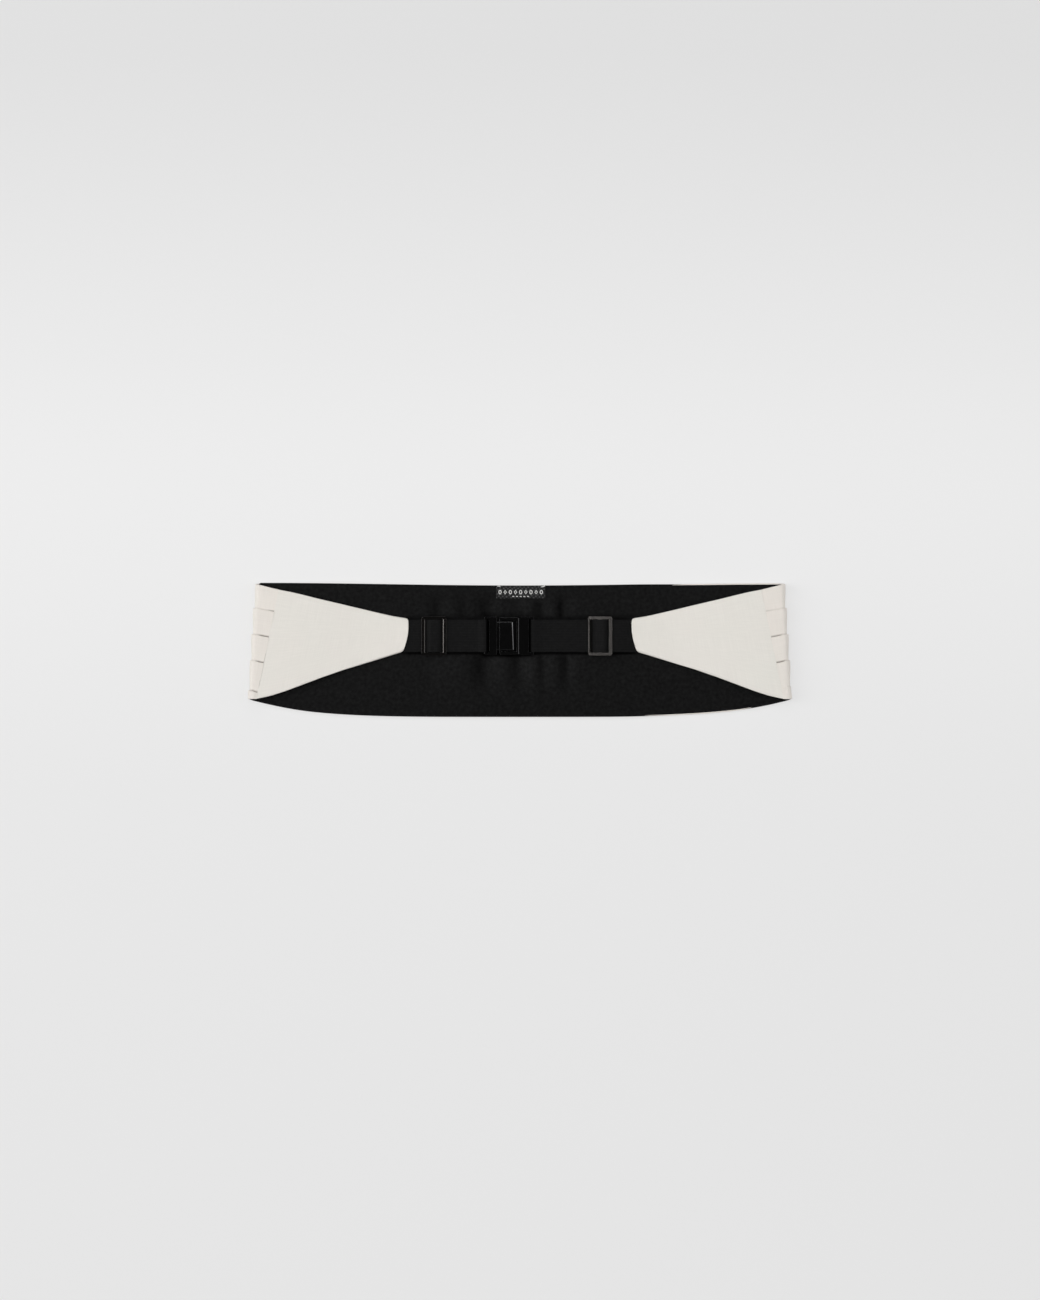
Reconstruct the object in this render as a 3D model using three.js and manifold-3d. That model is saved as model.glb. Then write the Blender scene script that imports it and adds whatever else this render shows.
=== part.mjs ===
// A pleated silk cummerbund, fastened and laid flat on a table with its pleats face down.
// The pleated front panel turns up round a soft fold at each side and is sewn to a plain wing.
// Each wing tapers to an elastic strap, and the straps meet in a hook and ring over the lining.
// Millimetres. +X is the wearer's right to left, +Y is the upper edge, +Z is up from the table.
import * as THREE from 'three';
import { mergeVertices } from 'three/addons/utils/BufferGeometryUtils.js';
import Module from 'manifold-3d';

const wasm = await Module();
wasm.setup();

// Clearance between two pieces that touch, and under what lies loosely on the lining
const SEAT = 0.3;
const REST_GAP = 0.4;

// Front panel: outline when laid flat
const PANEL_HEIGHT = 120.4;      // at the centre front
const FOLD_WIDTH_TOP = 485.4;    // across the two side folds, along the upper edge
const FOLD_WIDTH_BOTTOM = 500;   // the same along the lower edge
const TOP_DIP = 2.4;             // the upper edge hangs this far below its corners at the centre
const SIDE_RISE = 14;            // the lower edge climbs this far from the centre to the folds
const LOWER_EDGE_CURVE = 4.4;    // how late that climb comes

// Side folds: the panel turns up and over, and its edges draw in a little on the way
const FOLD_OPENING = 6;          // clear height inside the fold
const FOLD_TOP_FALL = 1.6;
const FOLD_BOTTOM_RISE = 2.3;

// Seam between the panel's end and the wing, measured in from the fold
const SEAM_INSET_TOP = 21.4;
const SEAM_INSET_BOTTOM = 8;
const SEAM_TOP_DROP = 6;
const SEAM_BOTTOM_RISE = 2.4;

// Pleats: equal bands, each with its folded edge upwards over the band above
const PLEAT_COUNT = 5;
const PLEAT_FOOT = 1.0;          // cloth at the foot of a band
const PLEAT_MOUTH = 0.4;         // open slit behind a folded edge
const PLEAT_FLAP = 1.0;          // cloth in front of that slit
const SIDE_TRIM = 1.2;           // taken off the top band at the fold
const SEAM_TRIM = 3.5;           // and at the seam

// Lining, sunk in the tray that the turned edge of the silk makes
const LINING_THICKNESS = 1.0;
const TURNED_EDGE = 1.0;

// Wings
const WING_THICKNESS = 2.0;
const WING_WALL = 1.0;           // each ply at the end, over and under the strap
const WING_GAP_TOP = 204.6;      // between the ends of the two wings, at their upper corners
const WING_GAP_BOTTOM = 214;
const WING_END_HEIGHT = 30.4;
const POCKET_DEPTH = 9;          // how far the strap is caught in the wing

// Elastic straps
const STRAP_WIDTH = 30;
const STRAP_THICKNESS = 1.0;
const STRAP_FROM_TOP = 48.5;     // middle of the strap below the panel's upper corners
const STRAP_TAIL_WIDTH = 24;     // the end caught in the wing is folded narrower
const STRAP_CORNER = 2.2;        // reach of the rounding at a corner of its route
const SHOULDER = 0.9;            // straight run beyond a bar before the strap bends
const CREST = 1.6;               // and beyond the middle bar, where it crosses over
const CLIMB = 6;                 // length of its rise to the bar of the clasp
const LANDING = 3;               // it lies flat again this far before the wing
const TURN_ROOM = 0.1;           // slack where it turns round the bar of the clasp

// Adjuster slides
const SLIDE_LENGTH = 24.7;       // along the strap
const SLIDE_HEIGHT = 36.4;       // across it
const SLIDE_BAR = 3.2;
const SLIDE_END_BAR = 2.7;
const SLIDE_MIDDLE_BAR = 4.0;
const SLIDE_THICKNESS = 1.4;
const SLIDE_CORNER = 2.0;
const LEFT_SLIDE_FROM_WING = 10.8;
const RIGHT_SLIDE_FROM_WING = 16.4;
const RIGHT_SLIDE_TILT = 12;     // degrees, lifted on its wing side

// Clasp: a bent hook on the left strap, and a ring on the right one
const CLASP_HEIGHT = 35;
const CLASP_THICKNESS = 1.4;
const CLASP_BAR = 2.3;           // bar that the strap is looped round
const CLASP_SLOT = 2.2;
const CLASP_CORNER = 1.0;
const SLOT_MARGIN = 0.5;         // slot longer than the strap's width at each end
const HOOK_PLATE = 6.8;
const HOOK_GAP = 2.6;            // between the hook's plate and the ring
const HOOK_LEAF = 1.2;           // thickness of the bent leaf
const HOOK_LEAF_HEIGHT = 26.2;
const HOOK_REACH = 12;           // from the ring's edge to the bend of the leaf
const RING_LEFT_X = -18.8;
const RING_LENGTH = 17.7;
const RING_HEIGHT = 34;
const RING_BAR = 1.9;
const RING_END_BAR = 2.6;
const RING_THICKNESS = 1.8;
const RING_PLATE = 9.5;
const RING_LAP = 0.4;            // the ring runs this far into its plate

// Woven label at the middle of the upper edge
const LABEL_WIDTH = 45;
const LABEL_HEIGHT = 12;
const LABEL_THICKNESS = 0.6;
const LABEL_OVERHANG = 0.3;      // above the panel's upper edge
const LABEL_X = 0.6;

// Facets
const FLAT_STEPS = 7;
const FOLD_STEPS = 8;
const RETURN_STEPS = 2;
const CORNER_STEPS = 3;
const BEVEL_STEPS = 1;

// Heights that follow from the layers
const PLEAT_THICKNESS = PLEAT_FOOT + PLEAT_MOUTH + PLEAT_FLAP;
const LINING_SINK = SEAT + LINING_THICKNESS;
const LINING_TOP = PLEAT_THICKNESS + LINING_SINK;
const BEND_RADIUS = FOLD_OPENING / 2 + LINING_SINK;
const BEND_HEIGHT = PLEAT_THICKNESS + BEND_RADIUS;
const HALF_DEPTH = (PANEL_HEIGHT + TOP_DIP) / 2;
const STRAP_Y = HALF_DEPTH - STRAP_FROM_TOP;
const RETURN_Z = LINING_TOP + REST_GAP + STRAP_THICKNESS / 2;
const RUN_Z = LINING_TOP + REST_GAP + Math.max(STRAP_THICKNESS, WING_WALL) + SEAT + STRAP_THICKNESS / 2;
const SLIDE_Z = RUN_Z + STRAP_THICKNESS / 2 + SEAT + SLIDE_THICKNESS / 2;
const LEFT_SLIDE_X = (WING_GAP_TOP - SLIDE_LENGTH) / 2 - LEFT_SLIDE_FROM_WING;
const RIGHT_SLIDE_X = (WING_GAP_TOP - SLIDE_LENGTH) / 2 - RIGHT_SLIDE_FROM_WING;
const LEAF_BOTTOM = LINING_TOP + REST_GAP;
const CLASP_BOTTOM = LEAF_BOTTOM + HOOK_LEAF + SEAT;
const CLASP_TOP = CLASP_BOTTOM + CLASP_THICKNESS;

const ivorySilk = new THREE.MeshStandardMaterial({ color: 0xe2ded7, roughness: 0.55, metalness: 0 });
const blackSatin = new THREE.MeshStandardMaterial({ color: 0x181818, roughness: 0.7, metalness: 0 });
const blackElastic = new THREE.MeshStandardMaterial({ color: 0x161616, roughness: 0.85, metalness: 0 });
const blackMetal = new THREE.MeshStandardMaterial({ color: 0x0d0d0e, roughness: 0.3, metalness: 0.9 });
const gunMetal = new THREE.MeshStandardMaterial({ color: 0x45413e, roughness: 0.35, metalness: 0.9 });
const wovenLabel = new THREE.MeshStandardMaterial({ color: 0x2c2c2d, roughness: 0.8, metalness: 0 });

const lerp = THREE.MathUtils.lerp;
const smoothstep = THREE.MathUtils.smoothstep;

// Solids

function solidOf(geometry) {
  const plain = geometry.clone();
  plain.deleteAttribute('normal');
  plain.deleteAttribute('uv');
  const merged = mergeVertices(plain, 1e-4);
  return new wasm.Manifold(new wasm.Mesh({
    numProp: 3,
    vertProperties: merged.getAttribute('position').array,
    triVerts: new Uint32Array(merged.index.array),
  }));
}

function geometryOf(solid) {
  const made = solid.getMesh();
  const geometry = new THREE.BufferGeometry();
  geometry.setAttribute('position', new THREE.BufferAttribute(made.vertProperties, 3));
  geometry.setIndex(new THREE.BufferAttribute(made.triVerts, 1));
  geometry.computeVertexNormals();
  return geometry;
}

// A closed solid through rings of points. Each ring is a section's flat outline, set in its place.
// Outlines run anticlockwise as seen from ahead.
function loft(sections) {
  const rings = sections.map(({ outline, place }) => outline.map(place));
  const count = rings[0].length;
  const positions = rings.flat().flatMap((p) => [p.x, p.y, p.z]);
  const faces = [];
  for (let r = 0; r < rings.length - 1; r += 1) {
    for (let i = 0; i < count; i += 1) {
      const a = r * count + i;
      const b = r * count + ((i + 1) % count);
      faces.push(a, b, b + count, a, b + count, a + count);
    }
  }
  const last = (rings.length - 1) * count;
  for (const [a, b, c] of THREE.ShapeUtils.triangulateShape(sections[0].outline, [])) {
    faces.push(c, b, a);
  }
  for (const [a, b, c] of THREE.ShapeUtils.triangulateShape(sections.at(-1).outline, [])) {
    faces.push(last + a, last + b, last + c);
  }
  const geometry = new THREE.BufferGeometry();
  geometry.setAttribute('position', new THREE.Float32BufferAttribute(positions, 3));
  geometry.setIndex(faces);
  geometry.computeVertexNormals();
  return geometry;
}

// A flat plate with rounded corners and windows, lying on z = 0
function plate({ outline, windows = [], thickness, bevel }) {
  const shape = roundedRectangle(outline);
  shape.holes = windows.map(roundedRectangle);
  const geometry = new THREE.ExtrudeGeometry(shape, {
    depth: thickness - 2 * bevel,
    bevelThickness: bevel,
    bevelSize: bevel,
    bevelOffset: -bevel,
    bevelSegments: BEVEL_STEPS,
    curveSegments: CORNER_STEPS,
  });
  return geometry.translate(0, 0, bevel);
}

function roundedRectangle({ left, right, bottom, top, corner }) {
  const shape = new THREE.Shape();
  shape.moveTo(left + corner, bottom);
  shape.lineTo(right - corner, bottom);
  shape.absarc(right - corner, bottom + corner, corner, -Math.PI / 2, 0, false);
  shape.lineTo(right, top - corner);
  shape.absarc(right - corner, top - corner, corner, 0, Math.PI / 2, false);
  shape.lineTo(left + corner, top);
  shape.absarc(left + corner, top - corner, corner, Math.PI / 2, Math.PI, false);
  shape.lineTo(left, bottom + corner);
  shape.absarc(left + corner, bottom + corner, corner, Math.PI, 1.5 * Math.PI, false);
  return shape;
}

// A route through corner points, with each corner rounded off
function roundedRoute(corners, radius) {
  const route = new THREE.Path();
  route.moveTo(corners[0].x, corners[0].y);
  for (let i = 1; i < corners.length - 1; i += 1) {
    const corner = corners[i];
    const back = corners[i - 1].clone().sub(corner);
    const ahead = corners[i + 1].clone().sub(corner);
    const reach = Math.min(radius, back.length() / 2, ahead.length() / 2);
    const from = corner.clone().add(back.setLength(reach));
    const to = corner.clone().add(ahead.setLength(reach));
    route.lineTo(from.x, from.y);
    route.quadraticCurveTo(corner.x, corner.y, to.x, to.y);
  }
  route.lineTo(corners.at(-1).x, corners.at(-1).y);
  const points = route.getPoints(CORNER_STEPS);
  return points.filter((p, i) => i === 0 || p.distanceTo(points[i - 1]) > 1e-3);
}

// A strip of even thickness that follows a route in the XZ plane and runs across in Y
function ribbon({ corners, radius, thickness, width, middleY }) {
  const route = roundedRoute(corners, radius);
  const near = [];
  const far = [];
  route.forEach((point, i) => {
    const before = route[Math.max(i - 1, 0)];
    const after = route[Math.min(i + 1, route.length - 1)];
    const into = point.clone().sub(before).normalize();
    const onward = after.clone().sub(point).normalize();
    const along = into.add(onward).normalize();
    const across = new THREE.Vector2(-along.y, along.x).multiplyScalar(thickness / 2);
    near.push(point.clone().add(across));
    far.push(point.clone().sub(across));
  });
  const shape = new THREE.Shape([...near, ...far.reverse()]);
  const geometry = new THREE.ExtrudeGeometry(shape, { depth: width, bevelEnabled: false });
  return geometry.rotateX(Math.PI / 2).translate(0, middleY + width / 2, 0);
}

// Front panel: stations across the flat panel, round the fold and back to the seam

const TOP_RUN = FOLD_WIDTH_TOP / 2 - BEND_RADIUS - PLEAT_THICKNESS;
const BOTTOM_RUN = FOLD_WIDTH_BOTTOM / 2 - BEND_RADIUS - PLEAT_THICKNESS;
const FOLD_TOP = new THREE.Vector3(TOP_RUN, HALF_DEPTH, 0);
const FOLD_BOTTOM = new THREE.Vector3(BOTTOM_RUN, SIDE_RISE - HALF_DEPTH, 0);
const FOLD_LINE = FOLD_TOP.clone().sub(FOLD_BOTTOM).normalize();
const FOLD_SIDE = new THREE.Vector3(FOLD_LINE.y, -FOLD_LINE.x, 0);
const UP = new THREE.Vector3(0, 0, 1);

function flatStation(along) {
  const dip = TOP_DIP * (1 + Math.cos(Math.PI * along)) / 2;
  const rise = SIDE_RISE * along ** LOWER_EDGE_CURVE;
  return {
    top: new THREE.Vector3(along * TOP_RUN, HALF_DEPTH - dip, PLEAT_THICKNESS),
    bottom: new THREE.Vector3(along * BOTTOM_RUN, rise - HALF_DEPTH, PLEAT_THICKNESS),
    out: UP.clone().negate(),
    trim: SIDE_TRIM * along ** 2,
  };
}

function foldStation(turn) {
  const angle = Math.PI * turn;
  const out = FOLD_SIDE.clone().multiplyScalar(Math.sin(angle)).addScaledVector(UP, -Math.cos(angle));
  const shift = out.clone().multiplyScalar(BEND_RADIUS).addScaledVector(UP, BEND_HEIGHT);
  return {
    top: FOLD_TOP.clone().add(shift).addScaledVector(FOLD_LINE, -FOLD_TOP_FALL * turn),
    bottom: FOLD_BOTTOM.clone().add(shift).addScaledVector(FOLD_LINE, FOLD_BOTTOM_RISE * turn),
    out,
    trim: lerp(SIDE_TRIM, SEAM_TRIM, turn / 2),
  };
}

const FOLD_END = foldStation(1);
const SEAM_TOP = new THREE.Vector3(
  FOLD_WIDTH_TOP / 2 - SEAM_INSET_TOP, HALF_DEPTH - SEAM_TOP_DROP, FOLD_END.top.z);
const SEAM_BOTTOM = new THREE.Vector3(
  FOLD_WIDTH_BOTTOM / 2 - SEAM_INSET_BOTTOM, FOLD_BOTTOM.y + SEAM_BOTTOM_RISE, FOLD_END.top.z);

function returnStation(share) {
  return {
    top: FOLD_END.top.clone().lerp(SEAM_TOP, share),
    bottom: FOLD_END.bottom.clone().lerp(SEAM_BOTTOM, share),
    out: UP.clone(),
    trim: lerp(FOLD_END.trim, SEAM_TRIM, share),
  };
}

const shares = (steps) => Array.from({ length: steps }, (_, i) => (i + 1) / steps);

const mirrored = (p) => new THREE.Vector3(-p.x, p.y, p.z);

function panelStations() {
  const half = [
    ...shares(FLAT_STEPS).map(flatStation),
    ...shares(FOLD_STEPS).map(foldStation),
    ...shares(RETURN_STEPS).map(returnStation),
  ];
  const other = half.map(({ top, bottom, out, trim }) => ({
    top: mirrored(top), bottom: mirrored(bottom), out: mirrored(out), trim,
  }));
  return [...other.reverse(), flatStation(0), ...half];
}

// Sets a point of a section, down from the upper edge and out from the cloth, in its station
function placer({ top, bottom, out }) {
  const down = bottom.clone().sub(top).normalize();
  return (p) => top.clone().addScaledVector(down, p.x).addScaledVector(out, p.y);
}

const stationHeight = ({ top, bottom }) => top.distanceTo(bottom);

// Shares of a band's height that its open mouth and its flat crest take
const MOUTH_SHARE = 0.2;
const CREST_SHARE = 0.25;

function pleatedOutline(height, trim) {
  const pitch = PANEL_HEIGHT / PLEAT_COUNT;
  const nose = PLEAT_FLAP / 2;
  const step = PLEAT_FOOT + PLEAT_MOUTH;
  const points = [[0, -LINING_SINK], [0, PLEAT_THICKNESS - nose], [nose, PLEAT_THICKNESS]];
  for (let k = 0; k < PLEAT_COUNT; k += 1) {
    const upper = k === 0 ? 0 : k * pitch - trim;
    const lower = k === PLEAT_COUNT - 1 ? height : (k + 1) * pitch - trim;
    const band = lower - upper;
    if (k > 0) {
      points.push(
        [upper + MOUTH_SHARE * band, PLEAT_FOOT],
        [upper + MOUTH_SHARE * band, step],
        [upper + nose, step],
        [upper, step + nose],
        [upper + nose, PLEAT_THICKNESS],
      );
    }
    points.push([upper + CREST_SHARE * band, PLEAT_THICKNESS], [lower, PLEAT_FOOT]);
  }
  points.push(
    [height, -LINING_SINK],
    [height - TURNED_EDGE, -LINING_SINK],
    [height - TURNED_EDGE, 0],
    [TURNED_EDGE, 0],
    [TURNED_EDGE, -LINING_SINK],
  );
  return points.map(([down, out]) => new THREE.Vector2(down, out)).reverse();
}

function pleatedFront() {
  return loft(panelStations().map((station) => ({
    outline: pleatedOutline(stationHeight(station), station.trim),
    place: placer(station),
  })));
}

function lining() {
  const inset = TURNED_EDGE + SEAT;
  return loft(panelStations().map((station) => {
    const height = stationHeight(station);
    const corners = [
      [inset, -LINING_SINK], [height - inset, -LINING_SINK], [height - inset, -SEAT], [inset, -SEAT],
    ];
    return { outline: corners.map(([x, y]) => new THREE.Vector2(x, y)), place: placer(station) };
  }));
}

// Wings: a row for each section from the seam to the strap. Shares of the wing's length, of the
// fall of its upper edge, of the rise of its lower edge, and of the end's height that the
// rounded corners take.
const WING_SECTIONS = [
  { along: 0, fall: 0, rise: 0, upperIn: 0, lowerIn: 0 },
  { along: 0.1, fall: 0.085, rise: 0.068, upperIn: 0, lowerIn: 0 },
  { along: 0.2, fall: 0.192, rise: 0.167, upperIn: 0, lowerIn: 0 },
  { along: 0.3, fall: 0.306, rise: 0.283, upperIn: 0, lowerIn: 0 },
  { along: 0.45, fall: 0.463, rise: 0.459, upperIn: 0, lowerIn: 0 },
  { along: 0.6, fall: 0.624, rise: 0.62, upperIn: 0, lowerIn: 0 },
  { along: 0.75, fall: 0.784, rise: 0.761, upperIn: 0, lowerIn: 0 },
  { along: 0.88, fall: 0.915, rise: 0.885, upperIn: 0, lowerIn: 0 },
  { along: 0.955, fall: 0.968, rise: 0.957, upperIn: 0, lowerIn: 0.01 },
  { along: 0.985, fall: 0.989, rise: 0.986, upperIn: 0.01, lowerIn: 0.07 },
  { along: 1, fall: 1, rise: 1, upperIn: 0.09, lowerIn: 0.2 },
];
const WING_THICKENS = { from: 0.7, to: 0.88 };
const WING_RISE_OVER_SEAM = 0.4;  // middle of the wing over the inner face of the silk
const WING_EDGE = 1.2;            // width of the pressed edge
const WING_EDGE_SHARE = 0.6;      // and its thickness, as a share of the wing's

const WING_END_TOP = new THREE.Vector2(WING_GAP_TOP / 2, STRAP_Y + WING_END_HEIGHT / 2 + 0.8);
const WING_END_BOTTOM = new THREE.Vector2(WING_GAP_BOTTOM / 2, WING_END_TOP.y - WING_END_HEIGHT);
const WING_END_THICKNESS = 2 * WING_WALL + 2 * SEAT + STRAP_THICKNESS;

function wingOutline(height, thickness) {
  const half = thickness / 2;
  const edge = half * WING_EDGE_SHARE;
  return [
    [0, edge], [WING_EDGE, half], [height - WING_EDGE, half], [height, edge],
    [height, -edge], [height - WING_EDGE, -half], [WING_EDGE, -half], [0, -edge],
  ].map(([x, y]) => new THREE.Vector2(x, -y));
}

function wing(side) {
  const seamZ = SEAM_TOP.z + WING_RISE_OVER_SEAM;
  const sections = WING_SECTIONS.map(({ along, fall, rise, upperIn, lowerIn }) => {
    const drop = (1 - Math.cos(Math.PI * along)) / 2;
    const z = lerp(seamZ, RUN_Z, drop);
    const thicker = smoothstep(along, WING_THICKENS.from, WING_THICKENS.to);
    const top = new THREE.Vector3(
      side * lerp(SEAM_TOP.x - SEAT, WING_END_TOP.x, along),
      lerp(SEAM_TOP.y, WING_END_TOP.y, fall) - upperIn * WING_END_HEIGHT, z);
    const bottom = new THREE.Vector3(
      side * lerp(SEAM_BOTTOM.x - SEAT, WING_END_BOTTOM.x, along),
      lerp(SEAM_BOTTOM.y, WING_END_BOTTOM.y, rise) + lowerIn * WING_END_HEIGHT, z);
    const station = { top, bottom, out: UP };
    return {
      outline: wingOutline(stationHeight(station), lerp(WING_THICKNESS, WING_END_THICKNESS, thicker)),
      place: placer(station),
    };
  });
  const body = loft(side > 0 ? sections : sections.reverse());
  const mouth = WING_GAP_TOP / 2 - SEAT;
  const depth = WING_GAP_BOTTOM / 2 + POCKET_DEPTH - mouth;
  const pocket = new THREE.BoxGeometry(depth, STRAP_TAIL_WIDTH + 2 * SEAT, STRAP_THICKNESS + 2 * SEAT);
  pocket.translate(side * (mouth + depth / 2), STRAP_Y, RUN_Z);
  return geometryOf(solidOf(body).subtract(solidOf(pocket)));
}

// Straps. The elastic leaves the wing, passes under, over and under the bars of the slide, goes
// round the bar of the clasp, and comes back beneath itself to a loop round the middle bar.
// Distances run from the clasp outwards.
function strapCorners({ slideAt, barAt, tilt }) {
  const slope = Math.tan(THREE.MathUtils.degToRad(tilt));
  const halfSlide = SLIDE_LENGTH / 2;
  const halfBar = SLIDE_MIDDLE_BAR / 2;
  const lifted = (from, z) => [slideAt + from, z + (from + halfSlide) * slope];
  const inside = halfSlide - SLIDE_BAR;
  const loopOver = SLIDE_THICKNESS / 2 + SEAT + STRAP_THICKNESS / 2;
  const runOver = loopOver + STRAP_THICKNESS + SEAT;
  const turn = barAt - SEAT - STRAP_THICKNESS - TURN_ROOM;
  const barOver = CLASP_TOP + SEAT + STRAP_THICKNESS / 2;
  return [
    [WING_GAP_BOTTOM / 2 + POCKET_DEPTH - SEAT, RUN_Z],
    [WING_GAP_TOP / 2 - LANDING, RUN_Z],
    lifted(halfSlide + SHOULDER, RUN_Z),
    lifted(inside - SHOULDER, RUN_Z),
    lifted(halfBar + CREST, SLIDE_Z + runOver),
    lifted(-halfBar - CREST, SLIDE_Z + runOver),
    lifted(SHOULDER - inside, RUN_Z),
    lifted(-halfSlide, RUN_Z),
    [barAt + CLASP_BAR + CLIMB, RUN_Z],
    [barAt + CLASP_BAR + SHOULDER, barOver],
    [turn, barOver],
    [turn, RETURN_Z],
    lifted(-halfSlide, RETURN_Z),
    lifted(SHOULDER - inside, RETURN_Z),
    lifted(-halfBar - SHOULDER, SLIDE_Z - loopOver),
    lifted(halfBar + SEAT + STRAP_THICKNESS, SLIDE_Z - loopOver),
    lifted(halfBar + SEAT + STRAP_THICKNESS, SLIDE_Z + loopOver),
    lifted(-halfBar, SLIDE_Z + loopOver),
  ].map(([x, y]) => new THREE.Vector2(x, y));
}

// The strap keeps its full width up to the slanted end of the wing, and is narrower inside it
function strap(side, fit) {
  const corners = strapCorners(fit).map((p) => new THREE.Vector2(side * p.x, p.y));
  const whole = ribbon({
    corners, radius: STRAP_CORNER, thickness: STRAP_THICKNESS, width: STRAP_WIDTH, middleY: STRAP_Y,
  });
  const slant = (WING_GAP_BOTTOM - WING_GAP_TOP) / 2 / WING_END_HEIGHT;
  const endAt = (y) => WING_GAP_TOP / 2 - 2 * SEAT + (WING_END_TOP.y - y) * slant;
  const beyond = WING_GAP_BOTTOM / 2 + 2 * POCKET_DEPTH;
  let kept = solidOf(whole);
  for (const [inner, outer] of [[1, 2], [-2, -1]]) {
    const low = STRAP_Y + inner * STRAP_TAIL_WIDTH / 2;
    const high = STRAP_Y + outer * STRAP_TAIL_WIDTH / 2;
    const shape = new THREE.Shape([
      new THREE.Vector2(side * endAt(low), low), new THREE.Vector2(side * beyond, low),
      new THREE.Vector2(side * beyond, high), new THREE.Vector2(side * endAt(high), high),
    ]);
    const cut = new THREE.ExtrudeGeometry(shape, { depth: 4 * RUN_Z, bevelEnabled: false });
    kept = kept.subtract(solidOf(cut));
  }
  return geometryOf(kept);
}

// Adjuster slide, centred on its own middle
function slide() {
  const halfLength = SLIDE_LENGTH / 2;
  const halfHeight = SLIDE_HEIGHT / 2;
  const windowOf = (left, right) => ({
    left, right, bottom: SLIDE_END_BAR - halfHeight, top: halfHeight - SLIDE_END_BAR, corner: 0.6,
  });
  return plate({
    outline: {
      left: -halfLength, right: halfLength, bottom: -halfHeight, top: halfHeight, corner: SLIDE_CORNER,
    },
    windows: [
      windowOf(SLIDE_BAR - halfLength, -SLIDE_MIDDLE_BAR / 2),
      windowOf(SLIDE_MIDDLE_BAR / 2, halfLength - SLIDE_BAR),
    ],
    thickness: SLIDE_THICKNESS,
    bevel: 0.3,
  }).translate(0, 0, -SLIDE_THICKNESS / 2);
}

const SLOT_HALF = STRAP_WIDTH / 2 + SLOT_MARGIN;
const HOOK_PLATE_LEFT = RING_LEFT_X - HOOK_GAP - HOOK_PLATE;
const HOOK_BAR_INNER = HOOK_PLATE_LEFT - CLASP_SLOT;
const RING_PLATE_LEFT = RING_LEFT_X + RING_LENGTH - RING_LAP;
const RING_SLOT_LEFT = RING_PLATE_LEFT + RING_PLATE;
const RING_BAR_INNER = RING_SLOT_LEFT + CLASP_SLOT;

function strapPlate(left, right, slotLeft) {
  return plate({
    outline: { left, right, bottom: -CLASP_HEIGHT / 2, top: CLASP_HEIGHT / 2, corner: CLASP_CORNER },
    windows: [{
      left: slotLeft, right: slotLeft + CLASP_SLOT, bottom: -SLOT_HALF, top: SLOT_HALF, corner: 0.4,
    }],
    thickness: CLASP_THICKNESS,
    bevel: 0.2,
  }).translate(0, STRAP_Y, CLASP_BOTTOM);
}

// The leaf steps down from the middle of the plate, passes under the bar of the ring and bends
// back over it
function claspHook() {
  const plateRight = HOOK_PLATE_LEFT + HOOK_PLATE;
  const frame = strapPlate(HOOK_BAR_INNER - CLASP_BAR, plateRight, HOOK_BAR_INNER);
  const root = plateRight - CLASP_THICKNESS;
  const leafZ = LEAF_BOTTOM + HOOK_LEAF / 2;
  const flapZ = CLASP_BOTTOM + RING_THICKNESS + SEAT + HOOK_LEAF / 2;
  const bend = RING_LEFT_X + HOOK_REACH - HOOK_LEAF / 2;
  const leaf = ribbon({
    corners: [
      [root, CLASP_BOTTOM + CLASP_THICKNESS / 2], [root + HOOK_LEAF / 2, CLASP_BOTTOM + CLASP_THICKNESS / 2],
      [RING_LEFT_X - HOOK_LEAF / 2, leafZ], [bend, leafZ], [bend, flapZ],
      [RING_LEFT_X + HOOK_LEAF / 2, flapZ],
    ].map(([x, y]) => new THREE.Vector2(x, y)),
    radius: (flapZ - leafZ) / 2,
    thickness: HOOK_LEAF,
    width: HOOK_LEAF_HEIGHT,
    middleY: STRAP_Y,
  });
  return geometryOf(solidOf(frame).add(solidOf(leaf)));
}

function claspRing() {
  const ring = plate({
    outline: {
      left: RING_LEFT_X, right: RING_LEFT_X + RING_LENGTH,
      bottom: -RING_HEIGHT / 2, top: RING_HEIGHT / 2, corner: CLASP_CORNER,
    },
    windows: [{
      left: RING_LEFT_X + RING_BAR, right: RING_LEFT_X + RING_LENGTH - RING_BAR,
      bottom: RING_END_BAR - RING_HEIGHT / 2, top: RING_HEIGHT / 2 - RING_END_BAR, corner: 0.5,
    }],
    thickness: RING_THICKNESS,
    bevel: 0.5,
  }).translate(0, STRAP_Y, CLASP_BOTTOM);
  const frame = strapPlate(RING_PLATE_LEFT, RING_BAR_INNER + CLASP_BAR, RING_SLOT_LEFT);
  return geometryOf(solidOf(ring).add(solidOf(frame)));
}

function label() {
  const geometry = new THREE.BoxGeometry(LABEL_WIDTH, LABEL_HEIGHT, LABEL_THICKNESS);
  const top = HALF_DEPTH - TOP_DIP + LABEL_OVERHANG;
  return geometry.translate(LABEL_X, top - LABEL_HEIGHT / 2, LINING_TOP + SEAT + LABEL_THICKNESS / 2);
}

// Assembly

function piece(name, geometry, material) {
  const mesh = new THREE.Mesh(geometry, material);
  mesh.name = name;
  return mesh;
}

const LEFT = -1;
const RIGHT = 1;

const cummerbund = new THREE.Group();
cummerbund.add(piece('pleated_front', pleatedFront(), ivorySilk));
cummerbund.add(piece('lining', lining(), blackSatin));
cummerbund.add(piece('label', label(), wovenLabel));
cummerbund.add(piece('wing_left', wing(LEFT), ivorySilk));
cummerbund.add(piece('wing_right', wing(RIGHT), ivorySilk));

const leftFit = { slideAt: LEFT_SLIDE_X, barAt: -HOOK_BAR_INNER, tilt: 0 };
const rightFit = { slideAt: RIGHT_SLIDE_X, barAt: RING_BAR_INNER, tilt: RIGHT_SLIDE_TILT };
cummerbund.add(piece('strap_left', strap(LEFT, leftFit), blackElastic));
cummerbund.add(piece('strap_right', strap(RIGHT, rightFit), blackElastic));

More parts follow.
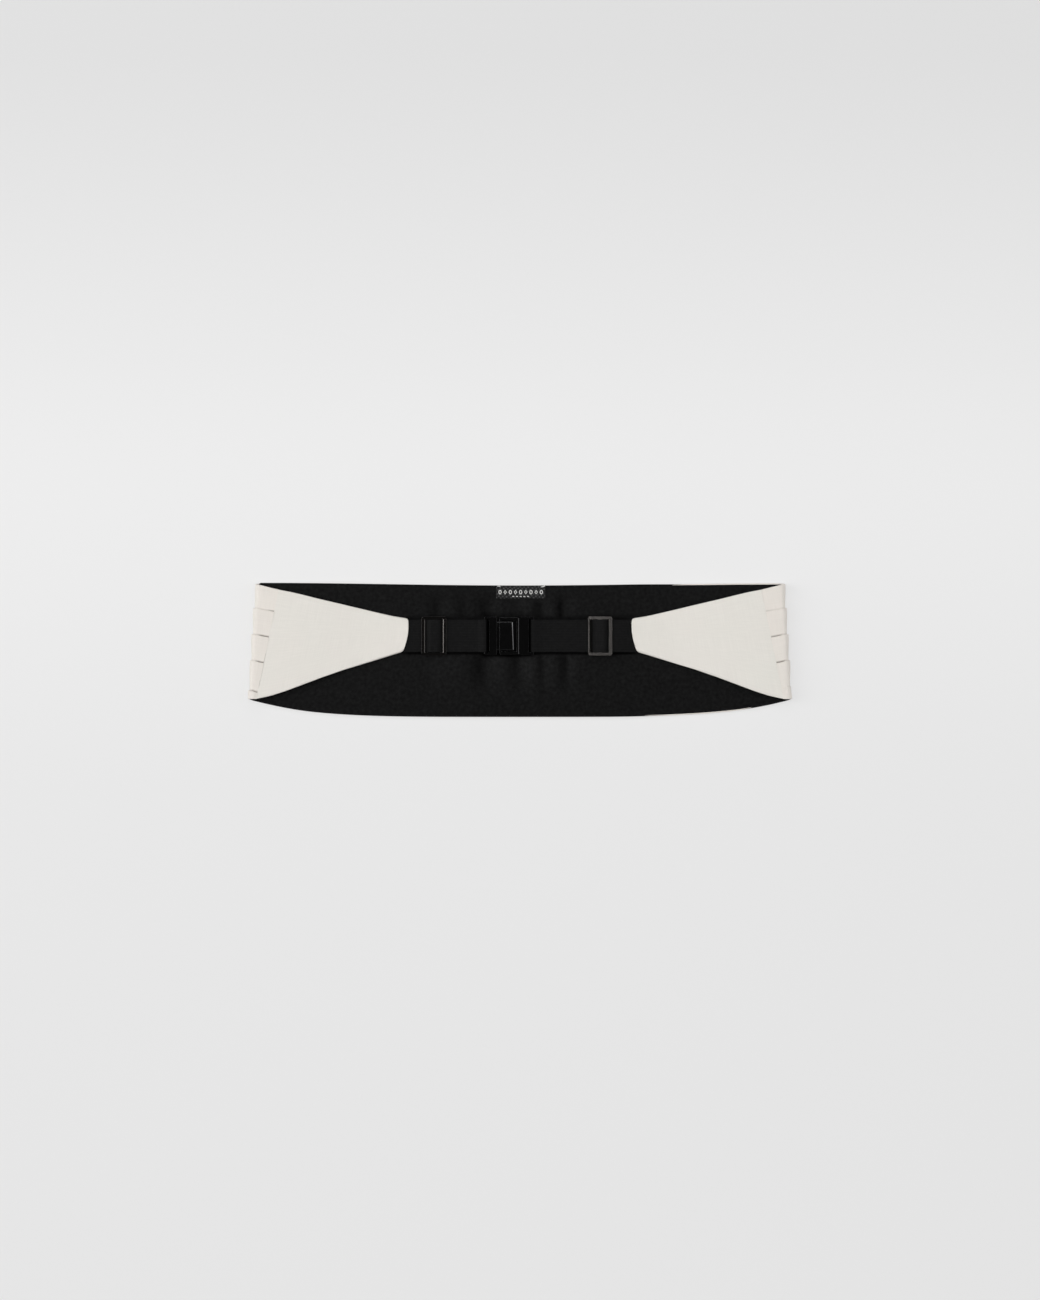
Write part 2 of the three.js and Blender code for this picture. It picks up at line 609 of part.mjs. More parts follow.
const leftSlide = piece('slide_left', slide(), blackMetal);
leftSlide.position.set(-LEFT_SLIDE_X, STRAP_Y, SLIDE_Z);
cummerbund.add(leftSlide);

const rightSlide = piece('slide_right', slide(), gunMetal);
const lift = SLIDE_LENGTH / 2 * Math.tan(THREE.MathUtils.degToRad(RIGHT_SLIDE_TILT));
rightSlide.position.set(RIGHT_SLIDE_X, STRAP_Y, SLIDE_Z + lift);
rightSlide.rotation.y = -THREE.MathUtils.degToRad(RIGHT_SLIDE_TILT);
cummerbund.add(rightSlide);

cummerbund.add(piece('clasp_hook', claspHook(), blackMetal));
cummerbund.add(piece('clasp_ring', claspRing(), blackMetal));

export default cummerbund;
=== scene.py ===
# A pleated ivory silk cummerbund, fastened and laid on a pale table with its pleats face down.
# The script follows it as it is put together: the silk front, its lining and label, the two
# wings, the elastic straps, and then the slides and the clasp that are threaded on them.
# Metres. +X is to the right in the photograph, +Y towards its top, +Z up from the table.
import math

import bmesh
import bpy
import numpy as np
from mathutils import Matrix, Vector, noise


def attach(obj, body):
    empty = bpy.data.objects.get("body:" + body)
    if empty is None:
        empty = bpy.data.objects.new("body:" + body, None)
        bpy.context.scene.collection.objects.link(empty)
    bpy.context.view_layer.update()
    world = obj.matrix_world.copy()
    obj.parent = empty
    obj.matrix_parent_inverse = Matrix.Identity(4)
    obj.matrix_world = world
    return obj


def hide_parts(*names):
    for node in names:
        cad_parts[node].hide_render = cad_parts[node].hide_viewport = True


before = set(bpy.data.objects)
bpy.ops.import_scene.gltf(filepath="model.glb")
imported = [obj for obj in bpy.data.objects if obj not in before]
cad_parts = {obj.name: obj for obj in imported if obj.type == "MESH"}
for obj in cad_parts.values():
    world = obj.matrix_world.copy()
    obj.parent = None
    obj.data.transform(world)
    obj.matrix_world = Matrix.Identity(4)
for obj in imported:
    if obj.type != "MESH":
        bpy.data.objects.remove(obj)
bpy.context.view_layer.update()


# Camera: straight above the table, as the photograph was taken, with the cummerbund's upper edge
# at the top. The picture's long side takes in 1.196 m of the table at the height of the cloth.
VIEW_HEIGHT = 1.196
CLOTH_LEVEL = 0.006
LENS = 85.0
SENSOR = 36.0

camera_data = bpy.data.cameras.new("camera")
camera_data.lens = LENS
camera_data.sensor_width = SENSOR
camera = bpy.data.objects.new("camera", camera_data)
camera.location = (0, 0, CLOTH_LEVEL + VIEW_HEIGHT * LENS / SENSOR)
bpy.context.scene.collection.objects.link(camera)
bpy.context.scene.camera = camera
bpy.context.scene.view_settings.view_transform = "Standard"


# Table and studio light: a pale sheet of board that glows, as a light table does, so that hardly a
# shadow falls on it. Its glow is painted light, and its colour and glow are painted as a gradient of
# light, brightest a little above the middle and darkest towards the top of the picture. The sky is
# dark overhead, where flat metal mirrors it, with a bright strip at the left and at the right for
# the rounded edges of the metal. The wide soft box overhead is screened from the metal, and three
# smaller ones add direction.
TABLE_SIZE = 12.0
TABLE_GAP = 0.0002
TABLE_PAINTED_LIGHT = ((-0.62, 0.324), (-0.13, 0.318), (0.10, 0.338), (0.27, 0.332), (0.55, 0.290))
TABLE_GLOW = 1.5
SKY_BY_HEIGHT = ((0.0, 0.05), (0.45, 0.15), (0.78, 0.20), (0.90, 0.10), (0.97, 0.022))
SKY_AT_LEFT = ((0.42, 0.0), (0.51, 0.08), (0.62, 1.7), (1.0, 1.7))
SKY_AT_RIGHT = ((0.44, 0.0), (0.57, 1.0), (1.0, 1.0))
STRIP_WIDTH = ((0.25, 1.0), (0.45, 0.0))


def new_material(name, **sockets):
    """A material whose constants sit on the shader's own sockets."""
    material = bpy.data.materials.new(name)
    material.use_nodes = True
    shader = material.node_tree.nodes["Principled BSDF"]
    for socket, value in sockets.items():
        shader.inputs[socket.replace("_", " ")].default_value = value
    return material, material.node_tree, shader


def finished(bm, name):
    """The object of a bmesh, with its place in its mesh."""
    mesh = bpy.data.meshes.new(name)
    bm.to_mesh(mesh)
    bm.free()
    piece = bpy.data.objects.new(name, mesh)
    bpy.context.scene.collection.objects.link(piece)
    return piece


def feed(tree, socket, value):
    """Puts a value or a link into a socket."""
    if isinstance(value, bpy.types.NodeSocket):
        tree.links.new(value, socket)
    else:
        socket.default_value = value


def node(tree, kind, **settings):
    """A new shader node. Each setting is one of its options, or goes into one of its sockets."""
    made = tree.nodes.new("ShaderNode" + kind)
    for key, value in settings.items():
        if hasattr(made, key):
            setattr(made, key, value)
        else:
            feed(tree, made.inputs[key.replace("_", " ")], value)
    return made


def maths(tree, operation, first, second=0.0):
    step = node(tree, "Math", operation=operation)
    feed(tree, step.inputs[0], first)
    feed(tree, step.inputs[1], second)
    return step.outputs[0]


def grey(value):
    return value, value, value, 1


def grey_ramp(tree, way, steps):
    """A colour ramp of greys at the given positions of a value."""
    ramp = node(tree, "ValToRGB", Fac=way)
    while len(ramp.color_ramp.elements) < len(steps):
        ramp.color_ramp.elements.new(1.0)
    for element, (position, value) in zip(ramp.color_ramp.elements, steps):
        element.position = position
        element.color = grey(value)
    return ramp


def soft_box(name, place, size, power, mirrored=True):
    """An area light aimed at the middle of the cummerbund, unseen by the camera."""
    lamp = bpy.data.lights.new(name, "AREA")
    lamp.shape = "RECTANGLE"
    lamp.size, lamp.size_y = size
    lamp.energy = power
    box = bpy.data.objects.new(name, lamp)
    box.location = place
    box.rotation_mode = "QUATERNION"
    box.rotation_quaternion = (-Vector(place)).to_track_quat("-Z", "Y")
    box.visible_camera = False
    box.visible_glossy = mirrored
    bpy.context.scene.collection.objects.link(box)


board_material, board_tree, board_shader = new_material(
    "pale_board", Roughness=0.9, Specular_IOR_Level=0.2, Emission_Strength=TABLE_GLOW)
board_place = node(board_tree, "TexCoord").outputs["Object"]
board_axes = node(board_tree, "SeparateXYZ", Vector=board_place)
board_front, board_back = TABLE_PAINTED_LIGHT[0][0], TABLE_PAINTED_LIGHT[-1][0]
board_depth = node(board_tree, "MapRange", Value=board_axes.outputs["Y"],
                   From_Min=board_front, From_Max=board_back)
# Painted light: the board's colour and glow follow this gradient along Y.
board_ramp = grey_ramp(board_tree, board_depth.outputs["Result"],
                       [((y - board_front) / (board_back - board_front), value) for y, value in TABLE_PAINTED_LIGHT])
board_ramp.color_ramp.interpolation = "B_SPLINE"
for socket in ("Base Color", "Emission Color"):
    board_tree.links.new(board_ramp.outputs["Color"], board_shader.inputs[socket])
board = bmesh.new()
bmesh.ops.create_grid(board, x_segments=1, y_segments=1, size=TABLE_SIZE / 2)
bmesh.ops.translate(board, verts=board.verts, vec=(0, 0, -TABLE_GAP))
table = finished(board, "table")
table.data.materials.append(board_material)

soft_box("left_box", place=(-1.9, 0.5, 1.5), size=(0.5, 2.0), power=12)
soft_box("right_box", place=(1.9, 0.5, 1.5), size=(0.4, 2.0), power=4)
soft_box("top_box", place=(0, 1.7, 1.9), size=(2.0, 0.6), power=6)
soft_box("overhead_box", place=(-0.15, 0, 3.2), size=(2.4, 2.4), power=46, mirrored=False)

sky = bpy.data.worlds.new("studio")
sky.use_nodes = True
sky_tree = sky.node_tree
sky_way = node(sky_tree, "TexCoord").outputs["Generated"]
sky_axes = node(sky_tree, "SeparateXYZ", Vector=sky_way)


def sky_shade(way, steps):
    return grey_ramp(sky_tree, way, steps).outputs["Color"]


at_left = sky_shade(maths(sky_tree, "MULTIPLY", sky_axes.outputs["X"], -1), SKY_AT_LEFT)
at_right = sky_shade(sky_axes.outputs["X"], SKY_AT_RIGHT)
strip_ends = sky_shade(maths(sky_tree, "ABSOLUTE", sky_axes.outputs["Y"]), STRIP_WIDTH)
strips = maths(sky_tree, "MULTIPLY", maths(sky_tree, "ADD", at_left, at_right), strip_ends)
sky_sum = maths(sky_tree, "ADD", strips, sky_shade(sky_axes.outputs["Z"], SKY_BY_HEIGHT))
sky_tree.links.new(sky_sum, sky_tree.nodes["Background"].inputs["Color"])
bpy.context.scene.world = sky


# Pleated front: one piece of ivory silk, folded into five pleats that open towards the upper edge
# and turned over a soft interlining at both long edges. Laid face down, it turns up round a soft
# fold at each side and comes back on top as far as the wings' seams.
PANEL_HEIGHT = 0.1204
FOLD_WIDTH_TOP = 0.4880
FOLD_WIDTH_BOTTOM = 0.5016
TOP_DIP = 0.0024
SIDE_RISE = 0.014
CORNER_RISE = 0.0010
LOWER_EDGE_CURVE = 4.4
FOLD_OPENING = 0.006
BEND_PRESSED = 0.6
FOLD_TOP_FALL = 0.0016
FOLD_BOTTOM_RISE = 0.0013
SEAM_INSET_TOP = 0.0227
SEAM_INSET_BOTTOM = 0.0088
SEAM_TOP_DROP = 0.006
SEAM_BOTTOM_RISE = 0.0014
PLEAT_COUNT = 5
PLEAT_FOOT = 0.001
LAST_PLEAT_FOOT = 0.002
PLEAT_MOUTH = 0.00014
PLEAT_THICKNESS = 0.0024
SIDE_TRIM = 0.0012
SEAM_TRIM = 0.0035
LINING_SINK = 0.0013
SILK_THICKNESS = 0.0002
SILK_LIP = 0.0006
FOLD_SINK = -0.0003
MOUTH_DEPTH = 0.0048
SEAM_GAPE = 0.0003
TIGHT_MOUTH = 0.00008
LEFT_LAST_PLEAT_DROP = 0.0036
SEAM_PRESS = 0.0007
LEFT_FIRST_PRESS = 0.00075
RIGHT_LAST_PRESS = 0.0008
SEAM_FOOT_RISE = 0.00015
LEFT_LAST_FOOT_DROP = 0.00025
SEAM_HEM_DROP = 0.0006
LEFT_SEAM_HEM_DROP = 0.0003
GAPE_SHIFT = 0.6
GAPE_RISE = 0.9
SILK_UNEVENNESS = 0.0001
SILK_TONES = (0.764, 0.734, 0.676, 1), (0.783, 0.722, 0.676, 1)

# Beside the seams the pleats gape: how much, and from where, for the pleats from the top down
LEFT_GAPES = ((0.8, 2.45), (1.0, 1.95), (1.0, 1.95), (0.8, 1.6))
RIGHT_GAPES = ((0.2, 2.4), (0.85, 1.9), (1.0, 1.8), (0, 3))

UP = Vector((0, 0, 1))
half_depth = (PANEL_HEIGHT + TOP_DIP) / 2
bend_radius = FOLD_OPENING / 2 + LINING_SINK
bend_height = PLEAT_THICKNESS + bend_radius
bend_reach = BEND_PRESSED * bend_radius + PLEAT_THICKNESS
fold_top = Vector((FOLD_WIDTH_TOP / 2 - bend_reach, half_depth, 0))
fold_bottom = Vector((FOLD_WIDTH_BOTTOM / 2 - bend_reach, SIDE_RISE + CORNER_RISE - half_depth, 0))
fold_line = (fold_top - fold_bottom).normalized()
fold_side = Vector((fold_line.y, -fold_line.x, 0))
seam_level = bend_height + bend_radius
seam_top = Vector((FOLD_WIDTH_TOP / 2 - SEAM_INSET_TOP, half_depth - SEAM_TOP_DROP, seam_level))
seam_bottom = Vector((FOLD_WIDTH_BOTTOM / 2 - SEAM_INSET_BOTTOM, fold_bottom.y + SEAM_BOTTOM_RISE,
                      seam_level))


def smooth(low, high, value):
    share = min(max((value - low) / (high - low), 0), 1)
    return share * share * (3 - 2 * share)


def station(along):
    """A place on the panel: 0 at its centre, then on the right 1 and 2 at the two ends of the side
    fold and 3 at the seam, and the same with a minus on the left. Gives the upper edge, the lower
    edge, the way out of the cloth and what is trimmed off the top pleat."""
    reach = abs(along)
    if reach <= 1:
        dip = TOP_DIP * (1 + math.cos(math.pi * reach)) / 2
        rise = SIDE_RISE * reach ** LOWER_EDGE_CURVE + CORNER_RISE * smooth(0.78, 1, reach)
        top = Vector((reach * fold_top.x, half_depth - dip, PLEAT_THICKNESS))
        bottom = Vector((reach * fold_bottom.x, rise - half_depth, PLEAT_THICKNESS))
        out = -UP
        trim = SIDE_TRIM * reach ** 2
    else:
        turn = min(reach - 1, 1)
        out = fold_side * math.sin(math.pi * turn) - UP * math.cos(math.pi * turn)
        shift = out * bend_radius + UP * bend_height
        shift -= fold_side * math.sin(math.pi * turn) * bend_radius * (1 - BEND_PRESSED)
        top = fold_top + shift - fold_line * FOLD_TOP_FALL * turn
        bottom = fold_bottom + shift + fold_line * FOLD_BOTTOM_RISE * smooth(0, 0.6, turn)
        trim = SIDE_TRIM + (SEAM_TRIM - SIDE_TRIM) * turn / 2
        share = max(reach - 2, 0)
        top = top.lerp(seam_top, share)
        bottom = bottom.lerp(seam_bottom, share)
        trim += (SEAM_TRIM - trim) * share
    if along < 0:
        mirror = Matrix.Diagonal((-1, 1, 1))
        top, bottom, out = mirror @ top, mirror @ bottom, mirror @ out
    return top, bottom, out, trim


def spread(start, stop, steps):
    """Evenly spaced values from just after start to stop."""
    return [start + (stop - start) * (i + 1) / steps for i in range(steps)]


def cloth_grid(name, columns, rows, place):
    """A sheet of cloth whose vertex at (column, row) is put by place, which also gives the painted
    shade at that vertex. Its UV map has the cloth's own lengths in metres, for the weave."""
    across, down = len(columns) - 1, len(rows) - 1
    bm = bmesh.new()
    bmesh.ops.create_grid(bm, x_segments=across, y_segments=down, size=1)
    weave = bm.loops.layers.uv.new("weave")
    # Each vertex keeps the painted shade that place gives it.
    painted_shade = bm.verts.layers.float.new("painted_shade")
    index = {v: (round((v.co.x + 1) / 2 * across), round((v.co.y + 1) / 2 * down)) for v in bm.verts}
    placed = np.zeros((across + 1, down + 1, 3))
    for v, (i, j) in index.items():
        v.co, v[painted_shade] = place(columns[i], rows[j])
        placed[i, j] = v.co
    along = np.linalg.norm(np.diff(placed[:, down // 2], axis=0), axis=1)
    drop = np.linalg.norm(np.diff(placed[across // 2], axis=0), axis=1)
    u, v_length = np.append(0, np.cumsum(along)), np.append(0, np.cumsum(drop))
    for face in bm.faces:
        face.smooth = True
        for loop in face.loops:
            i, j = index[loop.vert]
            loop[weave].uv = (u[i], v_length[j])
    bm.normal_update()
    return finished(bm, name), u[-1], v_length[-1]


def lining_sink(along):
    """How far the lining's face lies inside the pleats. The walls are pressed thin at the fold."""
    fold = smooth(1.0, 1.45, abs(along)) * smooth(2.0, 1.55, abs(along))
    return LINING_SINK + (FOLD_SINK - LINING_SINK) * fold


def turned_edge(along, upper):
    """How much of the silk shows beyond the lining. Along the panel the lining itself rolls over
    the edge, but for the upper right, and the silk covers it at the upper ends of the folds."""
    if not upper:
        return -0.0001 + 0.0006 * smooth(0.35, 0.65, along) * smooth(0.95, 0.75, along)
    rolled = 0.0008 * smooth(0.42, 0.74, along) * smooth(1.3, 1.0, along)
    return -0.0003 + rolled + 0.0012 * smooth(1.05, 1.35, abs(along))


def silk_profile():
    """The silk's outer face from its upper edge to its lower one, a row for each point: the part of
    a pleat it belongs to, the pleat, and a share of that part or an angle round it."""
    rows = [("lip_top", 0, share) for share in [0] + spread(0, 1, 2)]
    rows += [("edge_top", 0, angle) for angle in spread(-90, 90, 12)]
    for pleat in range(PLEAT_COUNT):
        if pleat:
            rows += [("tuck", pleat, share) for share in spread(0, 1, 3)]
            rows += [("turn", pleat, angle) for angle in spread(-90, 90, 3)]
            rows += [("back", pleat, share) for share in spread(0, 1, 4)]
            rows += [("nose", pleat, angle) for angle in spread(-90, 90, 7)]
        rows += [("face", pleat, share) for share in spread(0, 1, 14)]
    rows += [("edge_bottom", PLEAT_COUNT - 1, angle) for angle in spread(0, 180, 12)]
    return rows + [("lip_bottom", PLEAT_COUNT - 1, share) for share in spread(0, 1, 2)]


def seam_painted_shade(reach, share, left):
    """The painted shade along the seam: on the left below its middle, and faintly at the upper right."""
    if left:
        return 0.5 * smooth(2.985, 3, reach) * smooth(0.52, 0.60, share) * smooth(0.92, 0.885, share)
    return 0.12 * smooth(2.95, 3, reach) * smooth(0.28, 0.20, share)


def silk_place(along, row):
    """The silk's place at a station and a row of its profile, and its painted shade there."""
    kind, pleat, share = row
    top, bottom, out, trim = station(along)
    height = (bottom - top).length
    down_way = (bottom - top) / height
    pitch = PANEL_HEIGHT / PLEAT_COUNT
    reach = abs(along)
    left = along < 0
    gapes = LEFT_GAPES if left else RIGHT_GAPES
    sink = lining_sink(along)
    pressed = smooth(2.2, 3, reach)
    last = pleat == PLEAT_COUNT - 1
    crest = PLEAT_THICKNESS - SEAM_PRESS * pressed
    foot = PLEAT_FOOT + SEAM_FOOT_RISE * pressed
    if pleat == 0:
        crest -= LEFT_FIRST_PRESS * smooth(1.1, 1.4, reach) * left
    elif last and left:
        foot = PLEAT_FOOT - LEFT_LAST_FOOT_DROP * pressed
    elif last:
        crest -= RIGHT_LAST_PRESS * smooth(1.1, 1.4, reach) * smooth(2.9, 2.3, reach)
    hem = LAST_PLEAT_FOOT - (LEFT_SEAM_HEM_DROP if left else SEAM_HEM_DROP) * pressed if last else foot
    gape, gape_from = gapes[pleat - 1] if pleat else (0, 3)
    mouth = gape * smooth(gape_from, gape_from + 0.5, reach)
    gap = TIGHT_MOUTH + (PLEAT_MOUTH - TIGHT_MOUTH) * mouth
    lift = SEAM_GAPE * mouth
    nose = (crest - foot - gap) / 2
    drop = LEFT_LAST_PLEAT_DROP * smooth(-0.9, -1.2, along)
    upper = pleat * pitch - trim + drop * last if pleat else nose
    lower = height - nose if last else (pleat + 1) * pitch - trim + drop * (pleat == PLEAT_COUNT - 2)
    depth = min(MOUTH_DEPTH, 0.6 * (height - upper)) if last else MOUTH_DEPTH
    # Painted shade: dark inside the mouths of the pleats, and darker where they gape beside the seams.
    shade = 0.3 + 0.7 * mouth
    angle = math.radians(share)
    painted_shade = 0.0
    if kind == "lip_top":
        down = max(turned_edge(along, True) + SILK_LIP, nose + 0.0002) * (1 - share) + nose * share
        raised = -sink
    elif kind == "edge_top":
        rim = (crest + sink) / 2
        down = nose - nose * math.cos(angle)
        raised = crest - rim + rim * math.sin(angle)
    elif kind == "edge_bottom":
        rim = (hem + sink) / 2
        down = height - nose + nose * math.sin(angle)
        raised = hem - rim + rim * math.cos(angle)
    elif kind == "lip_bottom":
        down = height - nose - max(turned_edge(along, False) + SILK_LIP - nose, 0.0002) * share
        raised = -sink
    elif kind == "tuck":
        down = upper + depth * share
        raised = foot
        painted_shade = shade
    elif kind == "turn":
        down = upper + depth + gap / 2 * math.cos(angle)
        raised = foot + gap / 2 * (1 + math.sin(angle))
        painted_shade = shade
    elif kind == "back":
        down = upper + depth + (nose - depth) * share + lift * GAPE_SHIFT * share
        raised = foot + gap + lift * GAPE_RISE * share
        painted_shade = shade
    elif kind == "nose":
        down = upper + nose - nose * math.cos(angle) + lift * GAPE_SHIFT
        raised = crest - nose + nose * math.sin(angle) + lift * (GAPE_RISE - 0.4 * (share + 90) / 180)
        painted_shade = shade * smooth(10, -60, share)
    else:
        below, below_from = (0, 3) if last else gapes[pleat]
        below_mouth = below * smooth(below_from, below_from + 0.5, reach)
        start = upper + nose if pleat else upper
        down = start + (lower - start) * share + lift * GAPE_SHIFT * (1 - share)
        raised = crest - (crest - hem) * smooth(0.12, 1.0, share)
        raised += lift * (GAPE_RISE - 0.4) * smooth(0.3, 0.0, share)
        raised -= SILK_UNEVENNESS * (1 + noise.noise(Vector((along * 3.1, down * 60, pleat))))
        # Painted shade at the foot of each face, where the pleat below tucks under it.
        painted_shade = (0.2 + 0.8 * below_mouth) * smooth(0.94, 1.0, share) * (not last)
        if pleat == PLEAT_COUNT - 2 and along > 0:
            painted_shade *= smooth(1.2, 0.9, reach)
    painted_shade = max(painted_shade, seam_painted_shade(reach, down / height, left))
    return top + down_way * down + out * raised, painted_shade


half_columns = spread(0, 0.88, 46) + spread(0.88, 1, 14)
half_columns += spread(1, 2, 20) + spread(2, 2.96, 15) + spread(2.96, 3, 3)
panel_columns = [-along for along in reversed(half_columns)] + [0] + half_columns
front, front_length, front_drop = cloth_grid("silk_front", panel_columns, silk_profile(), silk_place)


def mixed(tree, fac, first, second, blend="MIX"):
    """A colour mix; first and second are colours or sockets."""
    mix = node(tree, "Mix", data_type="RGBA", blend_type=blend)
    for i, value in ((0, fac), (6, first), (7, second)):
        feed(tree, mix.inputs[i], value)
    return mix.outputs[2]


def grain(tree, place, scale, detail, roughness=0.5):
    """Soft noise at a place."""
    return node(tree, "TexNoise", Scale=scale, Detail=detail, Roughness=roughness,
                Vector=place).outputs["Fac"]


def threads(tree, place, way, scale, distortion):
    """Fine waves in one of the cloth's two ways, for its warp or its weft."""
    return node(tree, "TexWave", wave_type="BANDS", bands_direction=way, Scale=scale,
                Distortion=distortion, Vector=place).outputs["Fac"]


def bumped(tree, shader, height, depth, strength):
    bump = node(tree, "Bump", Distance=depth, Strength=strength, Height=height)
    tree.links.new(bump.outputs["Normal"], shader.inputs["Normal"])


def weave_bump(tree, shader, pitch, depth, strength):
    """Warp and weft that cross on the cloth's own UV map, which it gives back."""
    place = node(tree, "UVMap", uv_map="weave").outputs["UV"]
    warp, weft = (threads(tree, place, way, 1 / (pitch * 3.18) / 2, 0.4) for way in ("X", "Y"))
    bumped(tree, shader, maths(tree, "MULTIPLY", warp, weft), depth, strength)
    return place


def painted_shade_attribute(tree):
    """The painted shade that a piece of cloth carries at its vertices."""
    return node(tree, "Attribute", attribute_name="painted_shade").outputs["Fac"]


def cloth_wall(piece, thickness, offset):
    """The thickness of a cloth, in from its face or out from it."""
    wall = piece.modifiers.new("thickness", "SOLIDIFY")
    wall.thickness = thickness
    wall.offset = offset


def silk_material(name, cool, warm):
    """Ivory silk: matt satin in patches of a cool and a warm tone, with painted shade in the pleats' mouths
    and along the seam.
    """
    material, tree, shader = new_material(name, Roughness=0.62, Sheen_Weight=0.12, Sheen_Roughness=0.5)
    weave = weave_bump(tree, shader, pitch=0.00035, depth=0.00006, strength=0.35)
    place = node(tree, "TexCoord").outputs["Object"]
    tone = mixed(tree, grain(tree, place, 22.0, 2.0, 0.4), cool, warm)
    for way in ((50, 1300, 1), (1300, 50, 1)):
        stretch = node(tree, "Mapping", Scale=way, Vector=weave)
        slub = mixed(tree, grain(tree, stretch.outputs["Vector"], 1.0, 1.0), grey(0.955), grey(1.03))
        tone = mixed(tree, 1.0, tone, slub, blend="MULTIPLY")
    # Painted shade: the colour goes to a dark brown as the painted shade grows.
    colour = mixed(tree, painted_shade_attribute(tree), tone, (0.20, 0.165, 0.14, 1))
    tree.links.new(colour, shader.inputs["Base Color"])
    return material


front.data.materials.append(silk_material("ivory_silk", *SILK_TONES))
cloth_wall(front, SILK_THICKNESS, -1)
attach(front, "root")
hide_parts("pleated_front")


# Lining: a single sheet of black satin, sewn inside the turned edge of the silk. It has a few
# soft upright wrinkles below the clasp, where the front has been rolled. Their light and shade are
# painted, lighter on their ridges and darker in their hollows.
LINING_THICKNESS = 0.0002
LINING_ROLL = 0.0015
LINING_ROWS = 90
SATIN_SLACK = 0.00022
PLAIN_SHADE = 0.4
RIPPLE_SHADE = 480

# Upright ripples of the satin below the strap and above it, ridges and hollows: place across the
# front, height and half width. The height also sets the painted light and shade on them.
RIPPLES_BELOW = (
    (-0.0745, 0.0003, 0.0080), (-0.0607, 0.0003, 0.0055), (-0.0377, -0.0007, 0.0065),
    (-0.0212, 0.0006, 0.0055), (-0.0055, -0.0005, 0.0040), (0.0083, 0.0009, 0.0042),
    (0.0193, -0.0005, 0.0036), (0.0267, 0.0006, 0.0040), (0.0400, -0.0010, 0.0032),
    (0.0488, 0.0005, 0.0050),
)
RIPPLES_ABOVE = (
    (-0.0782, -0.0005, 0.0050), (-0.0660, 0.0003, 0.0050), (-0.0552, -0.0004, 0.0050),
    (-0.0340, -0.0006, 0.0060), (-0.0210, 0.0003, 0.0050), (0.0050, 0.0004, 0.0050),
    (0.0166, -0.0007, 0.0042), (0.0260, 0.0004, 0.0045), (0.0368, -0.0009, 0.0038),
    (0.0480, 0.0003, 0.0050),
)
STRAP_LOWER_EDGE = -0.0021
STRAP_UPPER_EDGE = 0.0279
CLASP_EDGE_LEFT = -0.0327
CLASP_EDGE_RIGHT = 0.0125
LABEL_REACH = 0.0240
LABEL_LOWER_EDGE = 0.0470


def satin_ripple(x, y):
    """Height of the satin's ripples at a place, and of its slower unevenness."""
    below, above = (sum(high * math.exp(-((x - at) / wide) ** 2) for at, high, wide in ripples)
                    for ripples in (RIPPLES_BELOW, RIPPLES_ABOVE))
    below *= smooth(STRAP_LOWER_EDGE, -0.0085, y) * smooth(-0.050, -0.014, y)
    above *= smooth(STRAP_UPPER_EDGE, 0.0330, y) * smooth(0.056, 0.040, y)
    label = smooth(LABEL_REACH + 0.004, LABEL_REACH, abs(x))
    label *= smooth(LABEL_LOWER_EDGE - 0.004, LABEL_LOWER_EDGE, y)
    strap = smooth(-0.0060, -0.0030, y) * smooth(0.0300, 0.0260, y)
    slack = SATIN_SLACK * (1 + noise.noise(Vector((x * 45, y * 40, 0.3)))) * smooth(0.058, 0.045, abs(y))
    return (below + above) * (1 - label), slack * (1 - strap) * (1 - label)


def strap_shade(x, y):
    """The painted shadow on the satin just beyond the edges of the strap and the clasp."""
    clasp = smooth(CLASP_EDGE_LEFT - 0.002, CLASP_EDGE_LEFT, x)
    clasp *= smooth(CLASP_EDGE_RIGHT + 0.002, CLASP_EDGE_RIGHT, x)
    below = STRAP_LOWER_EDGE - 0.0026 * clasp - y
    above = y - STRAP_UPPER_EDGE - 0.0026 * clasp
    shade = 0.45 * smooth(0.0062, 0.0010, above) if y > 0 else smooth(0.0030, 0.0008, below)
    return shade * smooth(0.112, 0.102, abs(x))


def lining_place(along, share):
    """The satin's place at a station and a share of its depth, and its painted shade there."""
    top, bottom, out, _ = station(along)
    height = (bottom - top).length
    first, last = turned_edge(along, True) - 0.0001, height - turned_edge(along, False) + 0.0001
    down = first + (last - first) * share
    rim = min(down - first, last - down)
    edge = turned_edge(along, share < 0.5)
    tucked = -0.00012 + 0.00057 * smooth(0.0, 0.0004, edge)
    sunk = lining_sink(along) - tucked * smooth(LINING_ROLL, 0, rim)
    point = top + (bottom - top) / height * down
    if abs(along) > 0.95:
        return point - out * sunk, PLAIN_SHADE
    ripple, slack = satin_ripple(point.x, point.y)
    sunk += (ripple + slack) * smooth(0.95, 0.8, abs(along)) * smooth(0, 0.008, rim)
    # Painted light and shade: lighter on the ripples' ridges, darker in their hollows, and painted shadow
    # beside the strap.
    shade = PLAIN_SHADE - RIPPLE_SHADE * ripple + (1 - PLAIN_SHADE) * strap_shade(point.x, point.y)
    return point - out * sunk, min(max(shade, 0), 1)


lining_rows = [0] + spread(0, 0.02, 5) + spread(0.02, 0.98, LINING_ROWS - 10) + spread(0.98, 1, 5)
lining, lining_length, lining_drop = cloth_grid("satin_lining", panel_columns, lining_rows, lining_place)


